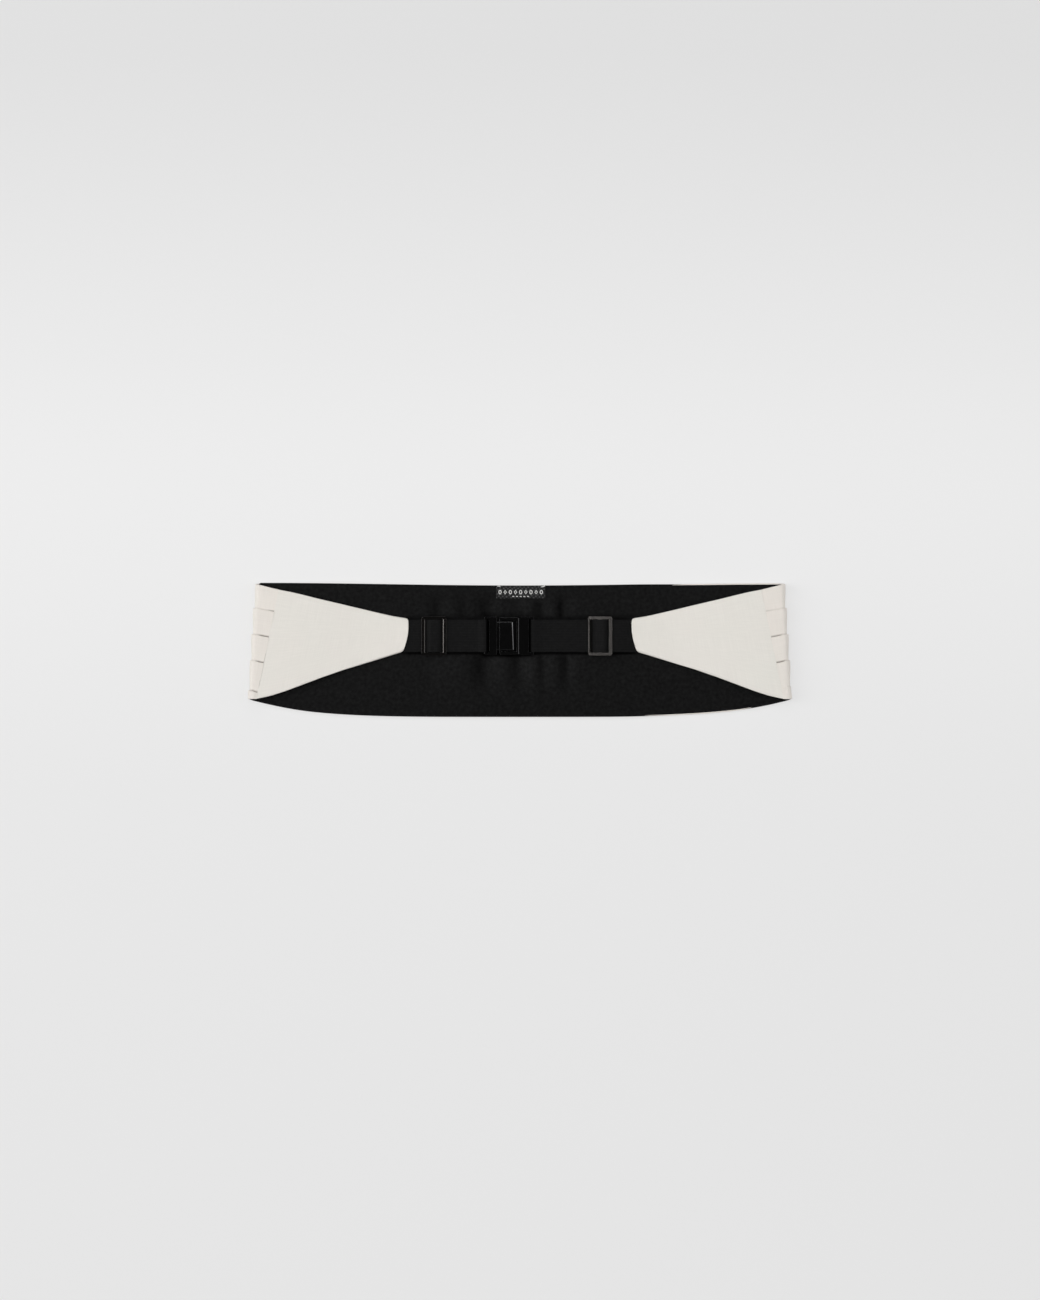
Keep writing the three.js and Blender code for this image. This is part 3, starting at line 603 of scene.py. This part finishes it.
def lining_material():
    """Black satin with a fine weave and a low, uneven lustre; its painted shade darkens it and takes away its
    lustre.
    """
    material, tree, shader = new_material("black_satin", Roughness=0.38)
    weave_bump(tree, shader, pitch=0.0004, depth=0.00008, strength=0.4)
    place = node(tree, "TexCoord").outputs["Object"]
    mottle = grain(tree, place, 300.0, 4.0, 0.6)
    # Painted shade: darkens the satin toward black and dims its lustre.
    satin_painted_shade = painted_shade_attribute(tree)
    cloth = mixed(tree, satin_painted_shade, (0.0060, 0.0060, 0.0062, 1), grey(0.0005))
    uneven = node(tree, "MapRange", Value=mottle, From_Min=0.3, From_Max=0.7,
                  To_Min=0.73, To_Max=1.27).outputs["Result"]
    tone = mixed(tree, 1.0, cloth, uneven, blend="MULTIPLY")
    tree.links.new(tone, shader.inputs["Base Color"])
    lustre = node(tree, "MapRange", Value=satin_painted_shade, To_Min=0.34, To_Max=0.03).outputs["Result"]
    gleam = maths(tree, "MULTIPLY", lustre, uneven)
    tree.links.new(gleam, shader.inputs["Specular IOR Level"])
    return material


lining.data.materials.append(lining_material())
cloth_wall(lining, LINING_THICKNESS, 1)
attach(lining, "root")
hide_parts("lining")


# Wings: each is two plies of silk pressed round an interlining, sewn to the pleats' ends and
# tapered to the width of the elastic, which is caught between the plies.
STRAP_WIDTH = 0.030
STRAP_FROM_TOP = 0.0485
WING_GAP_TOP = 0.2046
WING_GAP_BOTTOM = 0.214
WING_END_HEIGHT = 0.0304
WING_END_BOW = 0.0014
WING_END_ABOVE = 0.0008
WING_THICKNESS = 0.002
WING_END_THICKNESS = 0.0036
WING_PLY = 0.0007
WING_LIFT = 0.0003
WING_END_RIDGE = 0.0002
WING_UNEVENNESS = 0.00025
WING_TONES = (0.751, 0.738, 0.682, 1), (0.769, 0.728, 0.682, 1)
UPPER_CORNER = 0.003
UPPER_CORNER_ANGLE = math.radians(92)
LOWER_CORNER = 0.0052
LOWER_CORNER_ANGLE = math.radians(117)
SEAM_LAP = 0.0003
RUN_LEVEL = 0.0059

# Shares of the wing's length, of the fall of its upper edge and of the rise of its lower edge
WING_ALONG = (0, 0.1, 0.2, 0.3, 0.45, 0.6, 0.75, 0.88, 1)
WING_FALL = (0, 0.085, 0.192, 0.306, 0.463, 0.624, 0.784, 0.915, 1)
WING_RISE = (0, 0.068, 0.167, 0.283, 0.459, 0.620, 0.761, 0.885, 1)

strap_y = half_depth - STRAP_FROM_TOP
wing_end_top = Vector((WING_GAP_TOP / 2, strap_y + WING_END_HEIGHT / 2 + WING_END_ABOVE, 0))
wing_end_bottom = Vector((WING_GAP_BOTTOM / 2, wing_end_top.y - WING_END_HEIGHT, 0))
wing_end_down = (wing_end_bottom - wing_end_top).normalized()
wing_end_out = Vector((-wing_end_down.y, wing_end_down.x, 0))


def corner_inset(radius, angle, short_of_end):
    """How far a rounded corner has drawn an edge in, at a distance short of the wing's end."""
    if short_of_end >= radius * (1 + math.cos(angle)):
        return 0.0
    arc = math.sqrt(2 * radius * short_of_end - short_of_end ** 2)
    return radius / math.tan(angle / 2) - arc - short_of_end / math.tan(angle)


def wing_place_on(side):
    def place(along, row):
        fall = np.interp(along, WING_ALONG, WING_FALL)
        rise = np.interp(along, WING_ALONG, WING_RISE)
        level = seam_level + WING_LIFT
        level += (RUN_LEVEL - level) * (1 - math.cos(math.pi * along)) / 2
        half = (WING_THICKNESS + (WING_END_THICKNESS - WING_THICKNESS) * smooth(0.7, 0.88, along)) / 2
        top = Vector((seam_top.x + SEAM_LAP, seam_top.y, 0)).lerp(wing_end_top, along)
        bottom = Vector((seam_bottom.x + SEAM_LAP, seam_bottom.y, 0)).lerp(wing_end_bottom, along)
        top.y = seam_top.y + (wing_end_top.y - seam_top.y) * fall
        bottom.y = seam_bottom.y + (wing_end_bottom.y - seam_bottom.y) * rise
        across = (bottom - top).normalized()
        top_short = (top - wing_end_top).dot(wing_end_out)
        bottom_short = (bottom - wing_end_bottom).dot(wing_end_out)
        top += across * corner_inset(UPPER_CORNER, UPPER_CORNER_ANGLE, max(top_short, 0))
        bottom -= across * corner_inset(LOWER_CORNER, LOWER_CORNER_ANGLE, max(bottom_short, 0))
        kind, share = row
        width = (bottom - top).length
        angle = math.radians(share)
        if kind == "upper_edge":
            down = half - half * math.cos(angle)
            raised = half * math.sin(angle)
        elif kind == "lower_edge":
            down = width - half + half * math.cos(angle)
            raised = half * math.sin(angle)
        else:
            down = half + (width - 2 * half) * share
            raised = half if kind == "face" else -half
        painted_shade = 0.0
        if kind == "face":
            raised += WING_END_RIDGE * smooth(0.930, 0.940, along) * smooth(1.0, 0.990, along)
            wave = noise.noise(Vector((side * along * 4, down * 22, 0.7)))
            raised += WING_UNEVENNESS * wave * smooth(0, 0.05, along)
            # Painted shade along the left seam, where the wing meets the pleats.
            if side < 0:
                painted_shade = smooth(0.005, 0.002, along) * seam_painted_shade(3, share, True)
        point = top + across * down + UP * (level + raised)
        point.x -= WING_END_BOW * 4 * down / width * (1 - down / width) * smooth(0.85, 1, along)
        return Vector((side * point.x, point.y, point.z)), painted_shade

    return place


wing_rows = [("upper_edge", angle) for angle in [0] + spread(0, 90, 5)]
wing_rows += [("face", share) for share in spread(0, 1, 36)]
wing_rows += [("lower_edge", angle) for angle in spread(90, -90, 10)]
wing_rows += [("back", share) for share in spread(1, 0, 14)]
wing_rows += [("upper_edge", angle) for angle in spread(-90, 0, 5)]
wing_silk = silk_material("ivory_wing_silk", *WING_TONES)
wing_columns = [0, 0.0015, 0.004, 0.010] + [1 - (1 - share) ** 1.7 for share in spread(0, 1, 60)]


def joined_round(piece, capped=False):
    """Joins the two long edges of a cloth that goes once round, and caps its ends with sharp rims."""
    bm = bmesh.new()
    bm.from_mesh(piece.data)
    bmesh.ops.remove_doubles(bm, verts=bm.verts, dist=1e-6)
    if capped:
        for cap in bmesh.ops.holes_fill(bm, edges=bm.edges, sides=0)["faces"]:
            for edge in cap.edges:
                edge.smooth = False
        bmesh.ops.recalc_face_normals(bm, faces=bm.faces)
    bm.to_mesh(piece.data)
    bm.free()


for side, name in ((-1, "left"), (1, "right")):
    columns = wing_columns if side > 0 else wing_columns[::-1]
    wing, wing_length, wing_round = cloth_grid(f"silk_wing_{name}", columns, wing_rows, wing_place_on(side))
    joined_round(wing)
    wing.data.materials.append(wing_silk)
    cloth_wall(wing, WING_PLY, -1)
    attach(wing, "root")
    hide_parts(f"wing_{name}")


# Label: a narrow woven ribbon, felled to the lining at the middle of the upper edge. Its face has
# a plain woven row of lozenges and rings over a row of dashes, and stitches of pale thread show at
# its upper corners.
LABEL_WIDTH = 0.045
LABEL_HEIGHT = 0.012
LABEL_X = 0.0006
LABEL_OVERHANG = 0.0003
LABEL_LEVEL = 0.0041
LABEL_THICKNESS = 0.0004
LABEL_SAG = 0.00012
LABEL_CURL = 0.0001
LABEL_RIM_DROP = 0.0001
MARK_COUNT = 9
MARK_PITCH = 0.00475
MARK_SIZE = (0.0029, 0.0041)
MARK_STROKE = 0.0007
MARK_DROP = 0.0060
DASH_COUNT = 5
DASH_SIZE = (0.0017, 0.0006)
DASH_PITCH = 0.0034
DASH_DROP = 0.0100
MOTIF_HEIGHT = 0.0004
STITCH_RADIUS = 0.00028
STITCHES = (((-0.0212, -0.0002), (-0.0186, -0.0011)), ((-0.0214, -0.0009), (-0.0190, -0.0002)),
            ((0.0184, -0.0013), (0.0222, -0.0001)), ((0.0196, -0.0014), (0.0224, -0.0006)))

label_top = half_depth - TOP_DIP + LABEL_OVERHANG


def label_place(across, share):
    sag = LABEL_SAG * math.sin(across * 5 + 1) + LABEL_CURL * math.sin(across * 11 + share * 2)
    rim = smooth(0.0, 0.05, share) * smooth(1.0, 0.95, share) - 1
    level = LABEL_LEVEL + sag + rim * LABEL_RIM_DROP
    return Vector((LABEL_X + across * LABEL_WIDTH / 2, label_top - share * LABEL_HEIGHT, level)), 0.0


ribbon_columns = [-1] + spread(-1, 1, 60)
ribbon_rows = [0] + spread(0, 1, 18)
ribbon, _, _ = cloth_grid("woven_label", ribbon_columns, ribbon_rows, label_place)
damask, damask_tree, damask_shader = new_material("grey_damask", Roughness=0.55, Specular_IOR_Level=0.3)
damask_place = weave_bump(damask_tree, damask_shader, pitch=0.0003, depth=0.00008, strength=0.6)
twills = []
for angle in (38, -52):
    turned = node(damask_tree, "Mapping", Vector=damask_place, Rotation=(0, 0, math.radians(angle)))
    twill = node(damask_tree, "TexWave", Scale=120.0, Distortion=3.0, Detail=1.0,
                 Vector=turned.outputs["Vector"])
    twills.append(twill.outputs["Fac"])
figure = maths(damask_tree, "MULTIPLY", *twills)
damask_tone = mixed(damask_tree, figure, (0.003, 0.003, 0.0033, 1), (0.060, 0.060, 0.062, 1))
damask_tree.links.new(damask_tone, damask_shader.inputs["Base Color"])
ribbon.data.materials.append(damask)
cloth_wall(ribbon, LABEL_THICKNESS, 1)
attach(ribbon, "root")
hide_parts("label")

thread, thread_tree, thread_shader = new_material("pale_thread", Roughness=0.5, Sheen_Weight=0.2)
thread_place = node(thread_tree, "TexCoord").outputs["Object"]
strands = grain(thread_tree, thread_place, 2500.0, 1.0)
thread_tone = mixed(thread_tree, strands, (0.50, 0.50, 0.49, 1), (0.78, 0.78, 0.76, 1))
thread_tree.links.new(thread_tone, thread_shader.inputs["Base Color"])

motif = bmesh.new()
for i in range(MARK_COUNT):
    x = LABEL_X + (i - (MARK_COUNT - 1) / 2) * MARK_PITCH
    corners = 4 if i % 2 else 12
    rims = [bmesh.ops.create_circle(motif, segments=corners, radius=0.5)["verts"] for _ in range(2)]
    for rim, inset in zip(rims, (0, 2 * MARK_STROKE)):
        bmesh.ops.scale(motif, verts=rim, vec=(MARK_SIZE[0] - inset, MARK_SIZE[1] - inset, 1))
        bmesh.ops.translate(motif, verts=rim, vec=(x, label_top - MARK_DROP, LABEL_LEVEL))
    for k in range(corners):
        motif.faces.new([rims[0][k], rims[0][(k + 1) % corners], rims[1][(k + 1) % corners], rims[1][k]])
for i in range(DASH_COUNT):
    x = LABEL_X + (i - (DASH_COUNT - 1) / 2) * DASH_PITCH
    dash = bmesh.ops.create_grid(motif, x_segments=1, y_segments=1, size=0.5)["verts"]
    bmesh.ops.scale(motif, verts=dash, vec=(DASH_SIZE[0], DASH_SIZE[1], 1))
    bmesh.ops.translate(motif, verts=dash, vec=(x, label_top - DASH_DROP, LABEL_LEVEL))
raised = bmesh.ops.extrude_face_region(motif, geom=motif.faces[:])["geom"]
tops = [part for part in raised if isinstance(part, bmesh.types.BMVert)]
bmesh.ops.translate(motif, verts=tops, vec=(0, 0, MOTIF_HEIGHT))
for start, stop in STITCHES:
    start, stop = (Vector((LABEL_X + x, label_top + y, LABEL_LEVEL)) for x, y in (start, stop))
    stitch = bmesh.ops.create_cone(motif, cap_ends=True, segments=8, radius1=STITCH_RADIUS,
                                   radius2=STITCH_RADIUS, depth=(stop - start).length)["verts"]
    turn = (stop - start).to_track_quat("Z", "Y").to_matrix()
    bmesh.ops.rotate(motif, verts=stitch, cent=(0, 0, 0), matrix=turn)
    bmesh.ops.translate(motif, verts=stitch, vec=(start + stop) / 2)
bmesh.ops.recalc_face_normals(motif, faces=motif.faces)
woven_motif = finished(motif, "label_motif")
woven_motif.data.materials.append(thread)
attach(woven_motif, "root")


# Straps: black woven elastic. Each leaves its wing, goes under, over and under the bars of its
# slide, round the bar of the clasp, and back beneath itself to a loop round the middle bar.
STRAP_THICKNESS = 0.001
POCKET_DEPTH = 0.009
BEND = 0.0022
SHOULDER = 0.0009
SEAT = 0.0003
SLIDE_LEVEL = 0.0074
RETURN_LEVEL = 0.0046
SLIDE_LENGTH = 0.0226
SLIDE_HEIGHT = 0.0360
SLIDE_BAR = 0.0031
SLIDE_END_BAR = 0.0027
SLIDE_MIDDLE_BAR = 0.004
SLIDE_THICKNESS = 0.0014
CLASP_BOTTOM = 0.0056
CLASP_THICKNESS = 0.0014
CLASP_BAR = 0.0023
LEFT_SLIDE_AT = 0.07915
RIGHT_SLIDE_AT = 0.07385
RIGHT_SLIDE_TILT = math.radians(15)
HOOK_BAR_AT = 0.0304
RING_BAR_AT = 0.0102
PASS_REACH = 0.0016
TURN_GAP = 0.0001
TAPE_UNEVENNESS = 0.00015
ROUTE_STEP = 0.002


def strap_route(slide_at, bar_at, tilt):
    """The strap's path seen from the side, as distances from the clasp and levels."""
    half_slide, half_bar = SLIDE_LENGTH / 2, SLIDE_MIDDLE_BAR / 2
    inside = half_slide - SLIDE_BAR
    loop_over = SLIDE_THICKNESS / 2 + SEAT + STRAP_THICKNESS / 2
    run_over = loop_over + STRAP_THICKNESS + SEAT
    turn = bar_at - SEAT - STRAP_THICKNESS - TURN_GAP
    bar_over = CLASP_BOTTOM + CLASP_THICKNESS + SEAT + STRAP_THICKNESS / 2

    def lifted(offset, level):
        return Vector((slide_at + offset, level + (offset + half_slide) * math.tan(tilt)))

    corners = [
        Vector((WING_GAP_BOTTOM / 2 + POCKET_DEPTH - SEAT, RUN_LEVEL)),
        Vector((WING_GAP_TOP / 2 - 0.003, RUN_LEVEL)),
        lifted(half_slide + SHOULDER, RUN_LEVEL),
        lifted(inside - SHOULDER, RUN_LEVEL),
        lifted(half_bar + PASS_REACH, SLIDE_LEVEL + run_over),
        lifted(-half_bar - PASS_REACH, SLIDE_LEVEL + run_over),
        lifted(SHOULDER - inside, RUN_LEVEL),
        lifted(-half_slide, RUN_LEVEL),
        Vector((bar_at + CLASP_BAR + 0.006, RUN_LEVEL)),
        Vector((bar_at + CLASP_BAR + SHOULDER, bar_over)),
        Vector((turn, bar_over)),
        Vector((turn, RETURN_LEVEL)),
        lifted(-half_slide, RETURN_LEVEL),
        lifted(SHOULDER - inside, RETURN_LEVEL),
        lifted(-half_bar - SHOULDER, SLIDE_LEVEL - loop_over),
        lifted(half_bar + SEAT + STRAP_THICKNESS, SLIDE_LEVEL - loop_over),
        lifted(half_bar + SEAT + STRAP_THICKNESS, SLIDE_LEVEL + loop_over),
        lifted(-half_bar, SLIDE_LEVEL + loop_over),
    ]
    return rounded_route(corners, BEND)


def rounded_route(corners, radius):
    """Straight runs with each corner rounded, and points at most a few millimetres apart."""
    bends = [corners[0]]
    for before, corner, after in zip(corners, corners[1:], corners[2:]):
        toward, away = before - corner, after - corner
        reach = radius / math.tan(toward.angle(away) / 2)
        reach = min(reach, toward.length * 0.48, away.length * 0.48)
        start, stop = corner + toward.normalized() * reach, corner + away.normalized() * reach
        bends += [start.lerp(corner, s).lerp(corner.lerp(stop, s), s) for s in np.linspace(0, 1, 8)]
    bends.append(corners[-1])
    route = [bends[0]]
    for point in bends[1:]:
        gap = (point - route[-1]).length
        steps = max(1, math.ceil(gap / ROUTE_STEP))
        route += [route[-1].lerp(point, share) for share in spread(0, 1, steps)]
    return route


def tape_section(width, thickness, across_steps, edge_steps):
    """Once round a flat tape with rounded edges: places across it and out of it."""
    edge = thickness / 2
    flat = width / 2 - edge
    half = [(flat * (1 - 2 * share), edge) for share in spread(0, 1, across_steps)]
    half += [(-flat - edge * math.cos(math.radians(a)), edge * math.sin(math.radians(a)))
             for a in spread(90, -90, edge_steps)]
    return [(flat, edge)] + half + [(-across, -out) for across, out in half]


def swept_tape(name, route, section, side, shaded=(0, -1)):
    """A closed band whose section is carried along the route, seen on one side of the clasp. It
    is in the shade from the first to the second of two distances from the clasp's middle."""
    ways = [(b - a).normalized() for a, b in zip(route, route[1:])]
    headings = [ways[0]] + [(a + b).normalized() for a, b in zip(ways, ways[1:])] + [ways[-1]]

    def place(i, spot):
        across, out = spot
        point, heading = route[i], headings[i]
        normal = Vector((-heading.y, heading.x)) * -1
        ripple = TAPE_UNEVENNESS * noise.noise(Vector((side * point.x * 90, across * 40, point.y * 200)))
        shifted = point + normal * (out + ripple)
        return Vector((side * shifted.x, strap_y + across, shifted.y)), smooth(*shaded, point.x)

    columns = list(range(len(route)))
    if side < 0:
        columns = columns[::-1]
    tape, length, _ = cloth_grid(name, columns, section, place)
    joined_round(tape, capped=True)
    return tape, length


def elastic_material():
    """Black elastic, finely ribbed along its length, unevenly worn, and dark where it is in shade."""
    material, tree, shader = new_material("black_elastic", Roughness=0.7)
    place = node(tree, "UVMap", uv_map="weave").outputs["UV"]
    ribs = threads(tree, place, "Y", 210.0, 0.3)
    picks = threads(tree, place, "X", 330.0, 0.5)
    bumped(tree, shader, maths(tree, "MULTIPLY", ribs, picks), depth=0.00012, strength=0.6)
    tone = mixed(tree, ribs, (0.0030, 0.0030, 0.0031, 1), (0.0065, 0.0065, 0.0067, 1))
    wear = mixed(tree, grain(tree, place, 320.0, 3.0), grey(0.4), grey(1.6))
    tone = mixed(tree, 1.0, tone, wear, blend="MULTIPLY")
    shade = painted_shade_attribute(tree)
    tree.links.new(mixed(tree, shade, tone, grey(0.0003)), shader.inputs["Base Color"])
    lustre = node(tree, "MapRange", Value=shade, To_Min=0.12, To_Max=0.01)
    tree.links.new(lustre.outputs["Result"], shader.inputs["Specular IOR Level"])
    return material


elastic = elastic_material()
strap_section = tape_section(STRAP_WIDTH, STRAP_THICKNESS, across_steps=24, edge_steps=6)
straps = (
    ("left", -1, strap_route(LEFT_SLIDE_AT, HOOK_BAR_AT, 0), (0.0318, 0.0312)),
    ("right", 1, strap_route(RIGHT_SLIDE_AT, RING_BAR_AT, RIGHT_SLIDE_TILT), (0.0106, 0.0098)),
)
for name, side, route, shaded in straps:
    strap, strap_length = swept_tape(f"elastic_{name}", route, strap_section, side, shaded)
    strap.data.materials.append(elastic)
    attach(strap, "root")
    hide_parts(f"strap_{name}")


# Slides: flat three-bar adjusters stamped from steel and plated in black nickel, pressed down a
# little beside the windows. The left one lies flat, and the loose right one is tilted on its loop
# of elastic.
SHARP_RIM = 0.0001
WIDEST_RIM = 0.0005
LIP_SLOPE = math.tan(math.radians(16))
SLIDE_CORNER = 0.002
WINDOW_CORNER = 0.0005


def sharp(x, y):
    return SHARP_RIM


def stamped_plate(columns, rows, windows, level, thickness, corner, rim=sharp,
                  window_corner=WINDOW_CORNER, lips={}):
    """A plate on the given lines, with windows left out of its cells. rim gives the width of the
    rounding of an upper edge from the place of its middle. The lower edges are sharp. lips gives
    the widths of the pressed lips beside the windows."""
    bm = bmesh.new()
    across, down = len(columns) - 1, len(rows) - 1
    bmesh.ops.create_grid(bm, x_segments=across, y_segments=down, size=1)
    for v in bm.verts:
        i, j = round((v.co.x + 1) / 2 * across), round((v.co.y + 1) / 2 * down)
        v.co = (columns[i], rows[j], level)
    cut = [f for f in bm.faces for low, high in windows
           if low[0] < f.calc_center_median().x < high[0] and low[1] < f.calc_center_median().y < high[1]]
    bmesh.ops.delete(bm, geom=cut, context="FACES")
    lifted = bmesh.ops.extrude_face_region(bm, geom=bm.faces[:])["geom"]
    lifted = [part for part in lifted if isinstance(part, bmesh.types.BMVert)]
    bmesh.ops.translate(bm, verts=lifted, vec=(0, 0, thickness))
    bmesh.ops.recalc_face_normals(bm, faces=bm.faces)
    uprights = [e for e in bm.edges
                if e.calc_face_angle(0) > 1 and abs(e.verts[0].co.z - e.verts[1].co.z) > 1e-6]
    ends = (columns[0], columns[-1])
    outer = [e for e in uprights if any(abs(e.verts[0].co.x - x) < 1e-6 for x in ends)]
    inner = [e for e in uprights if e not in outer]
    for edges, offset in ((outer, corner), (inner, window_corner)):
        bmesh.ops.bevel(bm, geom=edges, offset=offset, segments=5, profile=0.5, affect="EDGES", material=-1)
    beside_window = rows[-2] - window_corner / 2
    for v in bm.verts:
        for line, lip in lips.items():
            if abs(v.co.x - line) < 1e-5 and abs(v.co.y) < beside_window and v.co.z > level + thickness / 2:
                v.co.z -= lip * LIP_SLOPE
                break
    bm.normal_update()
    width = bm.edges.layers.float.new("bevel_weight_edge")
    for edge in bm.edges:
        middle = (edge.verts[0].co + edge.verts[1].co) / 2
        if edge.calc_face_angle(0) > 1:
            over = middle.z > level + thickness / 2
            edge[width] = (rim(middle.x, middle.y) if over else SHARP_RIM) / WIDEST_RIM
    for face in bm.faces:
        face.smooth = True
    for edge in bm.edges:
        edge.smooth = not (edge.calc_face_angle(0) > 0.1 and all(f.normal.z > 0.9 for f in edge.link_faces))
    return bm


def rounded(piece):
    """The rims of a stamped plate, as wide as its edges ask for."""
    rims = piece.modifiers.new("rims", "BEVEL")
    rims.limit_method = "WEIGHT"
    rims.width = WIDEST_RIM
    rims.segments = 4
    rims.harden_normals = True
    rims.use_clamp_overlap = False


def slide_frame(left_lip, right_lip):
    """A slide with the widths over which its upright bars are pressed down beside the windows."""
    x, y = SLIDE_LENGTH / 2, SLIDE_HEIGHT / 2
    x_in, y_in, bar = x - SLIDE_BAR, y - SLIDE_END_BAR, SLIDE_MIDDLE_BAR / 2
    columns = {-x, -x_in - left_lip, -x_in, -bar, bar, x_in, x_in + right_lip, x}
    return stamped_plate(
        columns=sorted(columns), rows=(-y, -y_in, y_in, y),
        windows=(((-x_in, -y_in), (-bar, y_in)), ((bar, -y_in), (x_in, y_in))),
        level=-SLIDE_THICKNESS / 2, thickness=SLIDE_THICKNESS, corner=SLIDE_CORNER,
        lips={-x_in: left_lip, x_in: right_lip})


def plated(name, base, roughness):
    """Plated steel with a faint unevenness in its gloss."""
    material, tree, shader = new_material(name, Base_Color=base, Metallic=1.0)
    place = node(tree, "TexCoord").outputs["Object"]
    wear = grain(tree, place, 260.0, 3.0)
    gloss = node(tree, "MapRange", Value=wear, To_Min=roughness * 0.75, To_Max=roughness * 1.3)
    tree.links.new(gloss.outputs["Result"], shader.inputs["Roughness"])
    return material


black_nickel = plated("black_nickel", base=(0.168, 0.158, 0.151, 1), roughness=0.15)
slides = (
    ("left", -1, LEFT_SLIDE_AT, 0, (0.0007, 0.0008)),
    ("right", 1, RIGHT_SLIDE_AT, RIGHT_SLIDE_TILT, (0.0018, 0)),
)
for name, side, distance, tilt, lips in slides:
    frame_bm = slide_frame(*lips)
    lift = SLIDE_LENGTH / 2 * math.tan(tilt)
    bmesh.ops.rotate(frame_bm, verts=frame_bm.verts, cent=(0, 0, 0), matrix=Matrix.Rotation(-tilt, 3, "Y"))
    bmesh.ops.translate(frame_bm, verts=frame_bm.verts, vec=(side * distance, strap_y, SLIDE_LEVEL + lift))
    adjuster = finished(frame_bm, f"adjuster_{name}")
    adjuster.data.materials.append(black_nickel)
    rounded(adjuster)
    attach(adjuster, "root")
    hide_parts(f"slide_{name}")


# Clasp: a hook and a ring in black enamelled steel. The hook's leaf steps down from its plate,
# passes under the ring's first bar and bends back over it.
CLASP_HEIGHT = 0.035
CLASP_SLOT = 0.0022
CLASP_CORNER = 0.001
SLOT_HALF = STRAP_WIDTH / 2 + 0.0005
HOOK_PLATE = 0.0068
HOOK_GAP = 0.0026
HOOK_LEAF = 0.0012
HOOK_LEAF_HEIGHT = 0.0262
HOOK_REACH = 0.013
RING_LEFT_X = -0.0188
RING_LENGTH = 0.0177
RING_HEIGHT = 0.034
RING_BAR = 0.0019
RING_END_BAR = 0.0026
RING_THICKNESS = 0.0018
RING_PLATE = 0.0095
RING_LAP = 0.0004
RING_RIGHT_RIM = 0.0005
RING_END_RIM = 0.0003
LEAF_LEVEL = 0.0047
LEAF_ROOT = 0.0036
LEAF_STEP = 0.0012
LEAF_BEND = 0.001
FLAP_SLANT = 0.035

enamel = plated("black_enamel", base=(0.105, 0.105, 0.107, 1), roughness=0.16)


def strap_plate(left, right, slot_left):
    """A plate of the clasp with the slot that its strap goes through."""
    y = CLASP_HEIGHT / 2
    plate = stamped_plate(
        columns=(left, slot_left, slot_left + CLASP_SLOT, right), rows=(-y, -SLOT_HALF, SLOT_HALF, y),
        windows=(((slot_left, -SLOT_HALF), (slot_left + CLASP_SLOT, SLOT_HALF)),),
        level=CLASP_BOTTOM, thickness=CLASP_THICKNESS, corner=CLASP_CORNER, window_corner=0.0004)
    bmesh.ops.translate(plate, verts=plate.verts, vec=(0, strap_y, 0))
    return plate


hook_right = RING_LEFT_X - HOOK_GAP
hook_slot = hook_right - HOOK_PLATE - CLASP_SLOT
hook = finished(strap_plate(hook_slot - CLASP_BAR, hook_right, hook_slot), "hook_plate")

ring_plate = RING_LEFT_X + RING_LENGTH - RING_LAP
ring_slot = ring_plate + RING_PLATE
ring_y = RING_HEIGHT / 2
ring_inner = ring_y - RING_END_BAR
ring_left, ring_right = RING_LEFT_X, RING_LEFT_X + RING_LENGTH


def ring_rim(x, y):
    """The ring's upper rims: wide at its right, narrower along its ends and sharp at its window."""
    if x > ring_right - 1e-4:
        return RING_RIGHT_RIM
    return RING_END_RIM if abs(y) > ring_y - 1e-4 else SHARP_RIM


ring_bm = stamped_plate(
    columns=(ring_left, ring_left + RING_BAR, ring_right - RING_BAR, ring_right),
    rows=(-ring_y, -ring_inner, ring_inner, ring_y),
    windows=(((ring_left + RING_BAR, -ring_inner), (ring_right - RING_BAR, ring_inner)),),
    level=CLASP_BOTTOM, thickness=RING_THICKNESS, corner=CLASP_CORNER, rim=ring_rim)
bmesh.ops.translate(ring_bm, verts=ring_bm.verts, vec=(0, strap_y, 0))
ring = finished(ring_bm, "ring")
ring_strap_plate = finished(
    strap_plate(ring_plate, ring_slot + CLASP_SLOT + CLASP_BAR, ring_slot), "ring_plate")

leaf_root = hook_right - LEAF_ROOT
flap_level = CLASP_BOTTOM + RING_THICKNESS + SEAT + HOOK_LEAF / 2
leaf_bend = RING_LEFT_X + HOOK_REACH - HOOK_LEAF / 2
plate_middle = CLASP_BOTTOM + CLASP_THICKNESS / 2
leaf_route = rounded_route([
    Vector((leaf_root, plate_middle)), Vector((leaf_root + HOOK_LEAF / 2, plate_middle)),
    Vector((hook_right - LEAF_STEP, LEAF_LEVEL)), Vector((leaf_bend, LEAF_LEVEL)),
    Vector((leaf_bend, flap_level)), Vector((RING_LEFT_X + HOOK_LEAF / 2, flap_level)),
], LEAF_BEND)
leaf_section = tape_section(HOOK_LEAF_HEIGHT, HOOK_LEAF, across_steps=4, edge_steps=8)
leaf, _ = swept_tape("hook_leaf", leaf_route, leaf_section, 1)
for v in leaf.data.vertices:
    v.co.x += FLAP_SLANT * (strap_y - v.co.y) * smooth(RING_LEFT_X - 0.002, leaf_bend, v.co.x)

for piece in (hook, ring, ring_strap_plate):
    rounded(piece)
for piece in (hook, leaf, ring, ring_strap_plate):
    piece.data.materials.append(enamel)
    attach(piece, "root")
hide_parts("clasp_hook")
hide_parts("clasp_hook")
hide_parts("clasp_ring")
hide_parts("clasp_ring")
